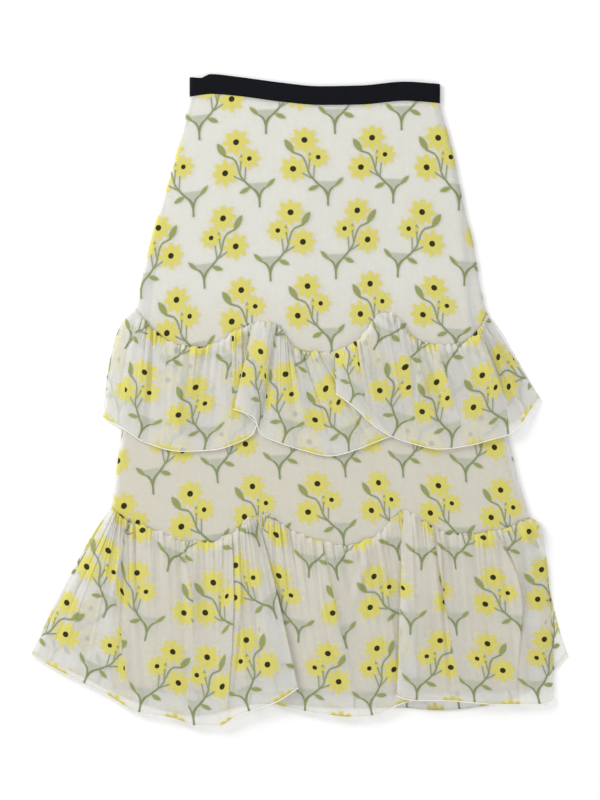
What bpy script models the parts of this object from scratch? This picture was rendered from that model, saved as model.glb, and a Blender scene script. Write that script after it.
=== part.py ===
"""A tiered midi skirt laid flat on a surface with its front up.

The skirt lies in the XY plane, waist towards +Y, +Z up. Its layers lie on each other: back
flounces and upper back on the surface, then the middle back, the two lining layers, the front
panels, and the two gathered front flounces on top. Every size below is in millimetres. A place on
the laid skirt is given as across, from the centre line towards +X, and down, from the top of the
waistband towards the hem.
"""

import math

import bmesh
import bpy
import numpy as np

MM = 0.001

# Cloth
WALL = 1.0
BAND_WALL = 1.5
GAP = 0.3
LAYER = WALL + GAP

# The layers of the laid skirt, each named by the height of its underside
ON_SURFACE = 0.0
MIDDLE_BACK_LEVEL = 1 * LAYER
LINING_BACK_LEVEL = 2 * LAYER
LINING_FRONT_LEVEL = 3 * LAYER
FRONT_LEVEL = 4 * LAYER
FLOUNCE_LEVEL = 5 * LAYER

# The front cloth turns down at the side seams to meet the back over this width
SIDE_ROLL = 5.0
# How far a flounce's corner hangs below the corner of the panel that it is sewn to
CORNER_DROP = 1.5
# How far hidden pieces stop short of the sides that cover them
TUCK = 8.0
LINING_DROP = 3.0

# Waistband
BAND_DEPTH = 25.0
WAIST_TOP = (  # across, down
    (-145, 4),
    (-131, 5),
    (-118, 0),
    (-79, 4),
    (-26, 11),
    (27, 16),
    (80, 15),
    (139, 10),
    (185, 13),
)

# Side seams of the top tier, from the waistband to the first seam
UPPER_LEFT = ((-156, 79), (-175, 148), (-195, 213), (-213, 294))
UPPER_RIGHT = ((205, 115), (216, 170), (228, 218), (243, 302))

# The first seam hangs in three scallops, because the flounce's weight pulls it between its folds
UPPER_SEAM = (  # across, down
    (-216, 309),
    (-194, 338),
    (-158, 359),
    (-129, 362),
    (-79, 338),
    (-62, 330),
    (-36, 330),
    (-5, 363),
    (16, 368),
    (44, 368),
    (73, 355),
    (106, 318),
    (114, 315),
    (160, 355),
    (197, 359),
    (233, 343),
    (247, 315),
)

# Side seams of the middle tier, from the first seam to the second
MIDDLE_LEFT = ((-221, 391), (-234, 468), (-240, 510))
MIDDLE_RIGHT = ((259, 397), (275, 475), (285, 521))

LOWER_SEAM = (  # across, down
    (-248, 572),
    (-228, 590),
    (-192, 602),
    (-147, 619),
    (-120, 619),
    (-89, 606),
    (-65, 587),
    (-43, 582),
    (-23, 597),
    (20, 615),
    (58, 624),
    (88, 616),
    (109, 605),
    (136, 577),
    (164, 592),
    (202, 609),
    (239, 607),
    (272, 601),
    (303, 585),
)

# The lining is a plain A-line slip inside the tiers
LINING_LEFT = (  # across, down
    (-138, 32),
    (-181, 193),
    (-197, 309),
    (-212, 391),
    (-226, 468),
    (-240, 572),
    (-248, 810),
)
LINING_RIGHT = (  # across, down
    (178, 41),
    (214, 193),
    (225, 315),
    (250, 397),
    (267, 475),
    (277, 521),
    (293, 585),
    (301, 812),
)
LINING_HEM = ((-248, 810), (-120, 815), (27, 817), (170, 816), (301, 812))

# Front flounces. A row is a place along the cloth: where it leaves the seam, where its hem lies,
# how high the hem lies, and how it leans out on the way, 1 for straight and less for a full curve.
# Where the hem goes back on itself the cloth is folded, and its height tells which layer is on top.
UPPER_FLOUNCE = (  # seam across, hem across, hem down, hem height, lean
    (-217, -260, 453, 1.9, 0.40),
    (-214, -256, 456, 4.5, 0.45),
    (-208, -234, 467, 8.0, 0.60),
    (-195, -204, 486, 9.0, 0.90),
    (-145, -156, 498, 9.5, 1.00),
    (-102, -113, 496, 9.0, 1.00),
    (-81, -81, 486, 8.3, 1.00),
    (-71, -62, 475, 8.0, 1.00),
    (-67, -56, 462, 9.8, 1.00),
    (-64, -71, 449, 11.9, 1.00),
    (-62, -87, 442, 14.2, 1.00),
    (-50, -72, 447, 16.4, 1.00),
    (-39, -59, 455, 15.6, 1.00),
    (-31, -52, 474, 12.0, 1.00),
    (-26, -25, 487, 10.0, 1.00),
    (-18, -1, 495, 9.5, 1.00),
    (1, 40, 504, 9.0, 1.00),
    (16, 74, 496, 8.5, 1.00),
    (30, 107, 483, 8.2, 1.00),
    (36, 121, 478, 10.0, 1.00),
    (40, 86, 450, 12.0, 1.00),
    (45, 48, 422, 14.2, 1.00),
    (60, 69, 437, 16.4, 1.00),
    (82, 102, 467, 16.5, 1.00),
    (96, 121, 478, 15.5, 1.00),
    (117, 146, 487, 12.5, 1.00),
    (146, 185, 495, 10.5, 1.00),
    (185, 225, 490, 10.0, 1.00),
    (214, 251, 483, 10.5, 1.00),
    (234, 275, 476, 10.0, 1.00),
    (239, 292, 463, 8.0, 1.00),
    (243, 304, 445, 5.0, 1.00),
    (247, 317, 429, 1.9, 1.00),
)

LOWER_FLOUNCE = (  # seam across, hem across, hem down, hem height, lean
    (-248, -354, 768, 1.9, 0.90),
    (-245, -349, 771, 4.0, 0.90),
    (-238, -323, 785, 6.5, 1.00),
    (-228, -292, 801, 7.5, 1.00),
    (-213, -253, 820, 8.0, 1.00),
    (-197, -215, 842, 8.5, 1.00),
    (-174, -167, 850, 9.0, 1.00),
    (-151, -137, 860, 9.0, 1.00),
    (-129, -106, 860, 10.0, 1.00),
    (-114, -87, 850, 11.5, 1.00),
    (-97, -62, 839, 13.5, 1.00),
    (-79, -31, 828, 15.6, 0.95),
    (-58, -2, 810, 13.4, 0.85),
    (-53, -33, 813, 11.2, 0.90),
    (-49, -62, 817, 9.0, 1.00),
    (-36, -25, 834, 7.0, 1.00),
    (-20, 6, 841, 7.2, 1.00),
    (1, 37, 846, 8.0, 1.00),
    (27, 67, 849, 8.5, 1.00),
    (60, 96, 847, 8.0, 1.00),
    (86, 117, 840, 7.5, 1.00),
    (103, 129, 833, 7.2, 1.00),
    (129, 159, 824, 9.0, 1.00),
    (133, 145, 822, 11.2, 1.00),
    (136, 128, 820, 13.4, 1.00),
    (142, 138, 824, 15.6, 1.00),
    (147, 154, 826, 16.0, 1.00),
    (164, 185, 826, 13.5, 1.00),
    (202, 225, 829, 11.0, 1.00),
    (239, 265, 832, 9.0, 1.00),
    (280, 316, 832, 7.0, 0.60),
    (296, 333, 828, 4.0, 0.30),
    (303, 336, 824, 1.9, 0.25),
)

# Creases of the front flounces. A narrow side is steep, as where one fold laps over the next.
UPPER_CREASES = (  # top across, top down, low across, low down, bend, rise, left side, right side
    (-205, 335, -214, 440, 3, 2.0, 14, 18),
    (-150, 372, -162, 480, -4, 2.2, 18, 12),
    (-112, 366, -96, 450, 0, 1.6, 12, 12),
    (-10, 372, 6, 470, 4, 1.8, 14, 14),
    (159, 380, 156, 440, 0, 3.0, 5, 20),
    (178, 370, 206, 430, 0, 2.5, 12, 10),
    (232, 336, 270, 432, 2, 4.5, 26, 6),
)
LOWER_CREASES = (  # top across, top down, low across, low down, bend, rise, left side, right side
    (-234, 605, -254, 715, 3, 3.0, 5, 22),
    (-152, 625, -141, 735, 0, 3.5, 5, 24),
    (-78, 640, -96, 845, 4, 3.0, 28, 6),
    (27, 618, 60, 790, -10, 3.2, 5, 22),
    (92, 624, 70, 705, 0, 2.5, 10, 10),
    (184, 612, 186, 720, 0, 3.5, 30, 6),
    (214, 612, 226, 670, 0, 1.8, 8, 12),
    (281, 630, 300, 720, 0, 2.0, 12, 8),
)

# Back flounces, seen from the front only where they pass the front ones
UPPER_BACK_HEM = (  # across, down
    (-260, 451),
    (-204, 478),
    (-130, 486),
    (-30, 476),
    (50, 490),
    (140, 478),
    (225, 480),
    (275, 464),
    (317, 428),
)
UPPER_BACK_LEFT = ((-236, 330), (-247, 362), (-256, 406))
UPPER_BACK_RIGHT = ((265, 338), (288, 378))
LOWER_BACK_HEM = (  # across, down
    (-354, 766),
    (-292, 794),
    (-215, 830),
    (-137, 848),
    (-50, 832),
    (60, 838),
    (130, 837),
    (185, 841),
    (250, 834),
    (310, 812),
    (354, 767),
)
LOWER_BACK_LEFT = ((-262, 590), (-301, 657), (-332, 717))
LOWER_BACK_RIGHT = ((321, 640), (341, 727))

# Gathers: how many on a front flounce, their height for their width, and how far down they die out
UPPER_GATHERS = 40
LOWER_GATHERS = 48
GATHER_STEEPNESS = 0.17
GATHER_START = 0.05
GATHER_REACH = 0.26

# How fast a fold opens below the seam, and the bend at its edge
FOLD_OPENING = 7
BEND_RADIUS = 1.5
# Within this much cloth from a fold the gathers die out
FOLD_CALM = 30

# How finely the curved pieces are divided
FLOUNCE_STEP = 4.8
SIDE_STEP = 1.5
FLOUNCE_ROWS = (0, 0.05, 0.12, 0.30, 0.62, 1)
PANEL_STEP = 12.0
LINING_STEP = 40.0
PANEL_ROWS = 6
SIDE_COLUMNS = (0, 1, 2.8, 5)
LINE_SAMPLES = 400

# Finishes: base colour, roughness
SHEER_CLOTH = ("sheer_printed_cloth", (0.76, 0.75, 0.70), 0.75)
LINING_CLOTH = ("lining_cloth", (0.80, 0.76, 0.68), 0.65)
BAND_RIBBON = ("navy_ribbon", (0.008, 0.009, 0.015), 0.85)


def smooth_line(rows):
    """Returns a function of 0 to 1 that runs smoothly through the rows and never swings past one."""
    rows = np.array(rows, float)
    steps = np.linalg.norm(np.diff(rows[:, :3], axis=0), axis=1)
    marks = np.concatenate([[0], np.cumsum(steps)]) / steps.sum()
    slopes = np.diff(rows, axis=0) / np.diff(marks)[:, None]
    before, after = slopes[:-1], slopes[1:]
    turning = before * after <= 0
    total = np.where(turning, 1, before + after)
    inner = np.where(turning, 0, 2 * before * after / total)
    tangents = np.vstack([slopes[:1], inner, slopes[-1:]])

    def at(share):
        place = min(int(np.searchsorted(marks, share, side="right")) - 1, len(marks) - 2)
        span = marks[place + 1] - marks[place]
        s = (share - marks[place]) / span
        return (
            (1 + 2 * s) * (1 - s) ** 2 * rows[place]
            + s * (1 - s) ** 2 * span * tangents[place]
            + s * s * (3 - 2 * s) * rows[place + 1]
            + s * s * (s - 1) * span * tangents[place + 1]
        )

    at.marks = marks
    at.length = steps.sum()
    return at


def stretch(line, start=0.0, end=1.0, down=0.0):
    """The stretch of a line between two of its shares, moved down."""

    def at(share):
        point = line(start + (end - start) * share)
        point[1] += down
        return point

    inner = [(mark - start) / (end - start) for mark in line.marks if start < mark < end]
    at.marks = [0, *inner, 1]
    at.length = line.length * (end - start)
    return at


def across_table(line):
    """Even samples of a line: their shares, places across and places down."""
    shares = [step / LINE_SAMPLES for step in range(LINE_SAMPLES + 1)]
    points = [line(share) for share in shares]
    return shares, [point[0] for point in points], [point[1] for point in points]


def tucked(line, start, end, down):
    """The stretch of a line between two places across, moved down."""
    shares, across, _ = across_table(line)
    first, last = np.interp([start, end], across, shares)
    return stretch(line, first, last, down)


def corner(line, share):
    return tuple(line(share)[:2])


def row_shares(line, longest_step, side_step=None, unbroken=()):
    """Shares along a line: one at every row of its table, and even steps between them. The
    intervals in unbroken get no steps."""
    shares = [0.0]
    for number, (start, end) in enumerate(zip(line.marks, line.marks[1:])):
        beside_seam = side_step and (start == 0 or end == 1)
        step_length = side_step if beside_seam else longest_step
        steps = max(1, round((end - start) * line.length / step_length))
        if number in unbroken:
            steps = 1
        shares += [start + (end - start) * (step + 1) / steps for step in range(steps)]
    return shares


def place(across, down, height):
    return (across * MM, -down * MM, height * MM)


def finish(name, colour, roughness):
    material = bpy.data.materials.get(name)
    if material is None:
        material = bpy.data.materials.new(name)
        material.use_nodes = True
        shader = material.node_tree.nodes["Principled BSDF"]
        shader.inputs["Base Color"].default_value = (*colour, 1)
        shader.inputs["Roughness"].default_value = roughness
        shader.inputs["Metallic"].default_value = 0
    return material


def add_piece(name, data, cloth):
    piece = bpy.data.objects.new(name, data)
    data.materials.append(finish(*cloth))
    skirt.objects.link(piece)
    return piece


def outline(top, bottom, left, right, step):
    """The corner-to-corner points round a piece that lies flat, clockwise from its top left."""
    points = []
    for edge, backwards in ((top, False), (right, False), (bottom, True), (left, True)):
        shares = row_shares(edge, step)
        shares = shares[:0:-1] if backwards else shares[:-1]
        points += [edge(share)[:2] for share in shares]
    return points


def flat_piece(name, edges, level, cloth, wall=WALL, step=PANEL_STEP):
    """A piece that lies flat: its outline as a filled curve, extruded to the cloth's thickness."""
    curve = bpy.data.curves.new(name, "CURVE")
    curve.dimensions = "2D"
    curve.fill_mode = "BOTH"
    curve.extrude = wall / 2 * MM
    points = outline(*edges, step)
    spline = curve.splines.new("POLY")
    spline.points.add(len(points) - 1)
    for point, (across, down) in zip(spline.points, points):
        point.co = (across * MM, -down * MM, 0, 1)
    spline.use_cyclic_u = True
    piece = add_piece(name, curve, cloth)
    piece.location.z = (level + wall / 2) * MM
    return piece


def surface_piece(name, columns, rows, point, cloth, wall=WALL):
    """A grid whose points are moved to point(column, row), given the cloth's thickness both ways."""
    mesh = bpy.data.meshes.new(name)
    grid = bmesh.new()
    bmesh.ops.create_grid(grid, x_segments=len(columns) - 1, y_segments=len(rows) - 1, size=0.5)
    for vert in grid.verts:
        column = columns[round((vert.co.x + 0.5) * (len(columns) - 1))]
        row = rows[round((0.5 - vert.co.y) * (len(rows) - 1))]
        vert.co = place(*point(column, row))
    grid.to_mesh(mesh)
    grid.free()
    mesh.shade_smooth()
    piece = add_piece(name, mesh, cloth)
    thickness = piece.modifiers.new("Cloth thickness", "SOLIDIFY")
    thickness.thickness = wall * MM
    thickness.offset = 0
    return piece


def rolled(distance, seam_height, front_height):
    """The height of front cloth that turns down to the side seam, by its distance from it."""
    share = min(max(distance / SIDE_ROLL, 0), 1)
    return seam_height + (front_height - seam_height) * math.sqrt(1 - (1 - share) ** 2)


def front_panel(name, edges, sewn_edge, level, seam_level, wave, cloth, wall=WALL):
    """A front panel stretched between its four edges, rolled down at both sides. Its columns
    follow the rows of its sewn edge, so that it and the piece sewn there share their corners."""
    top, bottom, left, right = edges
    sewn = {"top": top, "bottom": bottom}[sewn_edge]
    near_side = [distance / sewn.length for distance in SIDE_COLUMNS]
    clear = 1.5 * near_side[-1]
    inner = [share for share in row_shares(sewn, PANEL_STEP) if clear < share < 1 - clear]
    shares = near_side + inner + [1 - share for share in reversed(near_side)]

    def point(share, down_share):
        upper, lower = top(share), bottom(share)
        start, end = left(down_share), right(down_share)
        along = (1 - down_share) * upper + down_share * lower
        along += (1 - share) * start + share * end
        along -= (1 - share) * ((1 - down_share) * top(0) + down_share * bottom(0))
        along -= share * ((1 - down_share) * top(1) + down_share * bottom(1))
        distance = min(along[0] - start[0], end[0] - along[0])
        front = level + wall / 2 + wave(share, down_share)
        return along[0], along[1], rolled(distance, seam_level, front)

    rows = [step / PANEL_ROWS for step in range(PANEL_ROWS + 1)]
    return surface_piece(name, shares, rows, point, cloth, wall)


def no_wave(share, down_share):
    return 0.0


def soft_folds(share, down_share):
    """The top tier's faint lengthwise folds, which die out at its edges."""
    ends = math.sin(math.pi * down_share) * math.sin(math.pi * share) ** 0.5
    folds = 0.5 + 0.35 * math.sin(13 * share + 2 * down_share) + 0.15 * math.sin(31 * share)
    return 1.6 * ends * folds


def bell(share):
    return 0.5 + 0.5 * math.cos(math.pi * share) if abs(share) < 1 else 0.0


def crease_height(across, down, creases):
    """How far the creases lift the cloth at one place. It lifts every layer there alike."""
    height = 0.0
    for top_across, top_down, low_across, low_down, bend, rise, left, right in creases:
        along = (down - top_down) / (low_down - top_down)
        if 0 < along < 1:
            middle = top_across + (low_across - top_across) * along
            away = across - middle - bend * 4 * along * (1 - along)
            side = left if away < 0 else right
            height += rise * math.sin(math.pi * along) * bell(away / side)
    return height


def gather_wave(share, gathers):
    """The height of the gathers along the cloth, 0 to 1, unevenly spaced and unevenly full."""
    uneven = 0.30 * math.sin(23 * share + 1) + 0.22 * math.sin(61 * share)
    fullness = 0.78 + 0.22 * math.sin(37 * share + 2)
    return fullness * (0.5 - 0.5 * math.cos(2 * math.pi * (gathers * share + uneven)))


def bend_row(turn, neighbour, lift):
    """A row beside a turn, a bend's radius towards its neighbour and that much higher or lower."""
    way = neighbour - turn
    row = turn + way * BEND_RADIUS / math.hypot(way[1], way[2])
    row[3] = turn[3] + lift
    return row


def rounded_turns(table):
    """The table with a row added on each side of each turn, where the hem goes back on itself, so
    that a fold is a round bend and not a sharp edge. Also returns which rows the turns are."""
    given = [np.array(row, float) for row in table]
    rows, turns = [given[0]], []
    for before, row, after in zip(given, given[1:], given[2:]):
        if (row[1] - before[1]) * (after[1] - row[1]) >= 0:
            rows.append(row)
            continue
        rise = math.copysign(BEND_RADIUS, after[3] - before[3])
        turns.append(len(rows) + 1)
        rows += [bend_row(row, before, -rise), row, bend_row(row, after, rise)]
    return [*rows, given[-1]], turns


def front_flounce(name, table, seam, creases, gathers, side_height):
    """A gathered flounce hung from a seam, with the folds that its table gives."""
    rows, turns = rounded_turns(table)
    hem_line = smooth_line([(row[1], row[2], row[3], row[0], row[4]) for row in rows])
    _, seam_across, seam_down = across_table(seam)
    first, last = table[0][0], table[-1][0]
    spans = [(hem_line.marks[a], hem_line.marks[b]) for a, b in zip(turns[::2], turns[1::2])]
    tiny = 0.002

    def beyond_folds(share):
        """0 inside a fold, rising to 1 a little way along the cloth from it."""
        nearest = min(max(start - share, share - end, 0) for start, end in spans)
        return min(nearest * hem_line.length / FOLD_CALM, 1)

    def point(share, drop):
        hem_across, hem_down, hem_height, start, lean = hem_line(share)
        side = min(start - first, last - start)
        start_down = np.interp(start, seam_across, seam_down)
        start_down += CORNER_DROP * max(0, 1 - side / (2 * SIDE_ROLL))
        pitch = (hem_line(min(share + tiny, 1))[3] - hem_line(max(share - tiny, 0))[3]) / 2 / tiny
        full = GATHER_STEEPNESS * pitch / gathers * gather_wave(share, gathers)
        full *= math.exp(-drop / GATHER_REACH) * (0.5 + 0.5 * min(drop / GATHER_START, 1))
        full *= beyond_folds(share)
        across = start + (hem_across - start) * drop**lean
        down = start_down + (hem_down - start_down) * drop
        seam_height = rolled(side, side_height, FLOUNCE_LEVEL + WALL / 2)
        opened = 1 - (1 - drop) ** FOLD_OPENING
        height = seam_height + (hem_height - seam_height) * opened
        return across, down, height + full + crease_height(across, down, creases)

    in_folds = {row for a, b in zip(turns[::2], turns[1::2]) for row in range(a + 1, b - 1)}
    shares = row_shares(hem_line, FLOUNCE_STEP, SIDE_STEP, in_folds)
    return surface_piece(name, shares, FLOUNCE_ROWS, point, SHEER_CLOTH)


def centre_on_origin(pieces):
    """Moves the whole skirt so that the middle of its box's underside is the origin."""
    bpy.context.view_layer.update()
    graph = bpy.context.evaluated_depsgraph_get()
    corners = []
    for piece in pieces:
        shaped = piece.evaluated_get(graph)
        mesh = shaped.to_mesh()
        corners += [piece.matrix_world @ vert.co for vert in mesh.vertices]
        shaped.to_mesh_clear()
    low = [min(corner[axis] for corner in corners) for axis in range(3)]
    high = [max(corner[axis] for corner in corners) for axis in range(3)]
    for piece in pieces:
        piece.location.x -= (low[0] + high[0]) / 2
        piece.location.y -= (low[1] + high[1]) / 2
        piece.location.z -= low[2]
    bpy.context.view_layer.update()


# Clear the scene
for leftover in list(bpy.data.objects):
    bpy.data.objects.remove(leftover)
skirt = bpy.data.collections.new("Midi skirt")
bpy.context.scene.collection.children.link(skirt)

# Waistband
waist_top = smooth_line(WAIST_TOP)
waist_low = stretch(waist_top, down=BAND_DEPTH)
band_ends = [smooth_line([corner(waist_top, end), corner(waist_low, end)]) for end in (0, 1)]
band_edges = (waist_top, waist_low, *band_ends)
flat_piece("waistband_back", band_edges, ON_SURFACE, BAND_RIBBON, BAND_WALL)
front_panel(
    "waistband_front",
    band_edges,
    "top",
    FRONT_LEVEL + WALL - BAND_WALL,
    BAND_WALL + GAP,
    no_wave,
    BAND_RIBBON,
    BAND_WALL,
)

# Top tier
upper_top = stretch(waist_low, down=GAP)
upper_seam = smooth_line(UPPER_SEAM)
upper_left = smooth_line((corner(upper_top, 0), *UPPER_LEFT, corner(upper_seam, 0)))
upper_right = smooth_line((corner(upper_top, 1), *UPPER_RIGHT, corner(upper_seam, 1)))
upper_edges = (upper_top, upper_seam, upper_left, upper_right)
flat_piece("upper_back", upper_edges, ON_SURFACE, SHEER_CLOTH)
front_panel("upper_front", upper_edges, "bottom", FRONT_LEVEL, LAYER, soft_folds, SHEER_CLOTH)

# Middle tier, whose top hides under the upper flounce
middle_top = tucked(upper_seam, UPPER_SEAM[0][0] + TUCK, UPPER_SEAM[-1][0] - TUCK, GAP)
lower_seam = smooth_line(LOWER_SEAM)
middle_left = smooth_line((corner(middle_top, 0), *MIDDLE_LEFT, corner(lower_seam, 0)))
middle_right = smooth_line((corner(middle_top, 1), *MIDDLE_RIGHT, corner(lower_seam, 1)))
middle_edges = (middle_top, lower_seam, middle_left, middle_right)
flat_piece("middle_back", middle_edges, MIDDLE_BACK_LEVEL, SHEER_CLOTH)
front_panel(
    "middle_front",
    middle_edges,
    "top",
    FRONT_LEVEL,
    MIDDLE_BACK_LEVEL + LAYER,
    no_wave,
    SHEER_CLOTH,
)

# Lining
lining_top = tucked(waist_low, LINING_LEFT[0][0], LINING_RIGHT[0][0], LINING_DROP)
lining_left = smooth_line((corner(lining_top, 0), *LINING_LEFT[1:]))
lining_right = smooth_line((corner(lining_top, 1), *LINING_RIGHT[1:]))
lining_edges = (lining_top, smooth_line(LINING_HEM), lining_left, lining_right)
flat_piece("lining_back", lining_edges, LINING_BACK_LEVEL, LINING_CLOTH, step=LINING_STEP)
flat_piece("lining_front", lining_edges, LINING_FRONT_LEVEL, LINING_CLOTH, step=LINING_STEP)

# Flounces
for name, seam, hem, left, right in (
    ("flounce_upper_back", upper_seam, UPPER_BACK_HEM, UPPER_BACK_LEFT, UPPER_BACK_RIGHT),
    ("flounce_lower_back", lower_seam, LOWER_BACK_HEM, LOWER_BACK_LEFT, LOWER_BACK_RIGHT),
):
    back_top = stretch(seam, down=GAP)
    back_left = smooth_line((corner(back_top, 0), *left, hem[0]))
    back_right = smooth_line((corner(back_top, 1), *right, hem[-1]))
    back_edges = (back_top, smooth_line(hem), back_left, back_right)
    flat_piece(name, back_edges, ON_SURFACE, SHEER_CLOTH)
front_flounce(
    "flounce_upper_front",
    UPPER_FLOUNCE,
    stretch(upper_seam, down=2 * GAP),
    UPPER_CREASES,
    UPPER_GATHERS,
    2 * LAYER,
)
front_flounce(
    "flounce_lower_front",
    LOWER_FLOUNCE,
    stretch(lower_seam, down=2 * GAP),
    LOWER_CREASES,
    LOWER_GATHERS,
    MIDDLE_BACK_LEVEL + 2 * LAYER,
)

centre_on_origin(list(skirt.objects))
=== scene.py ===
# %% [markdown]
# # A tiered midi skirt, laid flat
#
# The skirt has a navy ribbon waistband, a plain top tier, a gathered flounce, a plain middle tier
# and a deeper gathered flounce, all in a semi-sheer white cloth with woven daisy sprigs, over a
# plain lining. It lies on a pale floor with its front up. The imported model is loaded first: it is
# the fixed frame that every piece below is sized and placed by.

# %% Load the frame
import math

import bmesh
import bpy
import numpy as np
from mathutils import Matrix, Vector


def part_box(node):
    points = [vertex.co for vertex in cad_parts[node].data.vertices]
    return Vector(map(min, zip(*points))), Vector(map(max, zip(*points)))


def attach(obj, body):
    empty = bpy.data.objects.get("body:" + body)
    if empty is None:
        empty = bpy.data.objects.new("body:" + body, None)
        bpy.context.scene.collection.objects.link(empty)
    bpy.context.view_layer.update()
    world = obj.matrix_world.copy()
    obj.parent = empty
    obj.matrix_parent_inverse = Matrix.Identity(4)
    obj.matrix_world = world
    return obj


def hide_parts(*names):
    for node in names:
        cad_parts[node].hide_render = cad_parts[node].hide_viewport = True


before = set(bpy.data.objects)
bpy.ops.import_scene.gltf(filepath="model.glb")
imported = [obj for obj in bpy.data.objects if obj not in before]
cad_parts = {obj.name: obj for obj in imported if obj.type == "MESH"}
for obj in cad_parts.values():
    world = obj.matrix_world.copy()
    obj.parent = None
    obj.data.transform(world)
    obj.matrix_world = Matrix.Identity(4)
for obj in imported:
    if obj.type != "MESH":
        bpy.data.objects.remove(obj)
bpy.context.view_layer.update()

# %% [markdown]
# ## Places and levels
#
# A place on the laid skirt is given in millimetres, as a maker would measure it: across, from the
# centre line towards the right, and down, from the top of the waistband. The frame says where
# those two start. The layers lie on each other, and each is named by the height of its middle.

# %% Sizes shared by every piece
MM = 0.001
LEFTMOST = -354.0  # the lower flounce's left corner, across
CENTRE_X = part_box("flounce_lower_back")[0][0] - LEFTMOST * MM
TOP_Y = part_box("waistband_back")[1][1]

WALL = 1.0  # a layer's thickness in the frame
GAP = 0.3  # between two layers
LAYER = WALL + GAP
BACK_HEIGHT = WALL / 2
MIDDLE_BACK_HEIGHT = BACK_HEIGHT + LAYER
LINING_BACK_HEIGHT = BACK_HEIGHT + 2 * LAYER
LINING_FRONT_HEIGHT = BACK_HEIGHT + 3 * LAYER
FRONT_HEIGHT = BACK_HEIGHT + 4 * LAYER
FLOUNCE_HEIGHT = BACK_HEIGHT + 5 * LAYER
SIDE_ROLL = 5.0  # how far from a side seam the front cloth starts to turn down
print("Front cloth lies at", round(FRONT_HEIGHT, 1), "mm, flounces start at",
      round(FLOUNCE_HEIGHT, 1), "mm")

# %% [markdown]
# ## The lines that the cloth is cut and sewn along
#
# Every edge is a smooth line through a few measured points. The same line serves both pieces at
# a seam. A curve object could hold it too, but here a function is handier: it can be sampled at
# any share of its length, and it carries more columns than places, such as a hem's height.


# %% A smooth line through the rows of a table
def smooth_line(rows):
    """A function of shares, 0 to 1, that runs through the rows and never swings past one."""
    rows = np.array(rows, float)
    steps = np.linalg.norm(np.diff(rows[:, :3], axis=0), axis=1)
    marks = np.concatenate([[0], np.cumsum(steps)]) / steps.sum()
    slopes = np.diff(rows, axis=0) / np.diff(marks)[:, None]
    before, after = slopes[:-1], slopes[1:]
    turning = before * after <= 0
    total = np.where(turning, 1, before + after)
    inner = np.where(turning, 0, 2 * before * after / total)
    tangents = np.vstack([slopes[:1], inner, slopes[-1:]])

    def at(shares):
        shares = np.clip(np.atleast_1d(shares), 0, 1)
        piece = np.clip(np.searchsorted(marks, shares, side="right") - 1, 0, len(marks) - 2)
        span = (marks[piece + 1] - marks[piece])[:, None]
        s = (shares - marks[piece])[:, None] / span
        return (
            (1 + 2 * s) * (1 - s) ** 2 * rows[piece]
            + s * (1 - s) ** 2 * span * tangents[piece]
            + s * s * (3 - 2 * s) * rows[piece + 1]
            + s * s * (s - 1) * span * tangents[piece + 1]
        )

    at.length = steps.sum()
    return at


def moved_down(line, by):
    """The same line, that much further down."""

    def at(shares):
        points = line(shares)
        points[:, 1] += by
        return points

    at.length = line.length
    return at


def part_of(line, start, end):
    """The stretch of a line between two places across."""
    shares = np.linspace(0, 1, 400)
    first, last = np.interp([start, end], line(shares)[:, 0], shares)

    def at(inner):
        return line(first + (last - first) * np.asarray(inner))

    at.length = line.length * (last - first)
    return at


def corner(line, share):
    """The place, across and down, at one end of a line."""
    return tuple(line(share)[0][:2])


# %% The tables of edges, in millimetres across and down
BAND_DEPTH = 25.0
WAIST_TOP = (  # across, down
    (-145, 4),
    (-131, 5),
    (-118, 0),
    (-79, 4),
    (-26, 11),
    (27, 16),
    (80, 15),
    (139, 10),
    (185, 13),
)
UPPER_LEFT = ((-156, 79), (-175, 148), (-195, 213), (-213, 294))
UPPER_RIGHT = ((205, 115), (216, 170), (228, 218), (243, 302))
UPPER_SEAM = (  # across, down
    (-216, 309),
    (-194, 338),
    (-158, 359),
    (-129, 362),
    (-79, 338),
    (-62, 330),
    (-36, 330),
    (-5, 363),
    (16, 368),
    (44, 368),
    (73, 355),
    (106, 318),
    (114, 315),
    (160, 355),
    (197, 359),
    (233, 343),
    (247, 315),
)
MIDDLE_LEFT = ((-221, 391), (-234, 468), (-240, 510))
MIDDLE_RIGHT = ((259, 397), (275, 475), (285, 521))
LOWER_SEAM = (  # across, down
    (-248, 572),
    (-228, 590),
    (-192, 602),
    (-147, 619),
    (-120, 619),
    (-89, 606),
    (-65, 587),
    (-43, 582),
    (-23, 597),
    (20, 615),
    (58, 624),
    (88, 616),
    (109, 605),
    (136, 577),
    (164, 592),
    (202, 609),
    (239, 607),
    (272, 601),
    (303, 585),
)
LINING_LEFT = (  # across, down
    (-138, 32),
    (-181, 193),
    (-197, 309),
    (-212, 391),
    (-226, 468),
    (-240, 572),
    (-248, 810),
)
LINING_RIGHT = (  # across, down
    (178, 41),
    (214, 193),
    (225, 315),
    (250, 397),
    (267, 475),
    (277, 521),
    (293, 585),
    (301, 812),
)
LINING_HEM = ((-248, 810), (-120, 815), (27, 817), (170, 816), (301, 812))

WAIST_LOW = (  # across, down
    (-145, 29.5),
    (-131, 27.5),
    (-118, 26.0),
    (-79, 29),
    (-26, 36),
    (27, 40.5),
    (80, 40),
    (139, 35),
    (185, 38),
)

waist_top = smooth_line(WAIST_TOP)
waist_low = smooth_line(WAIST_LOW)
upper_seam = smooth_line(UPPER_SEAM)
lower_seam = smooth_line(LOWER_SEAM)
print("Waistband", round(waist_top.length), "mm along its front; seams", round(upper_seam.length),
      "and", round(lower_seam.length), "mm")

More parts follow.
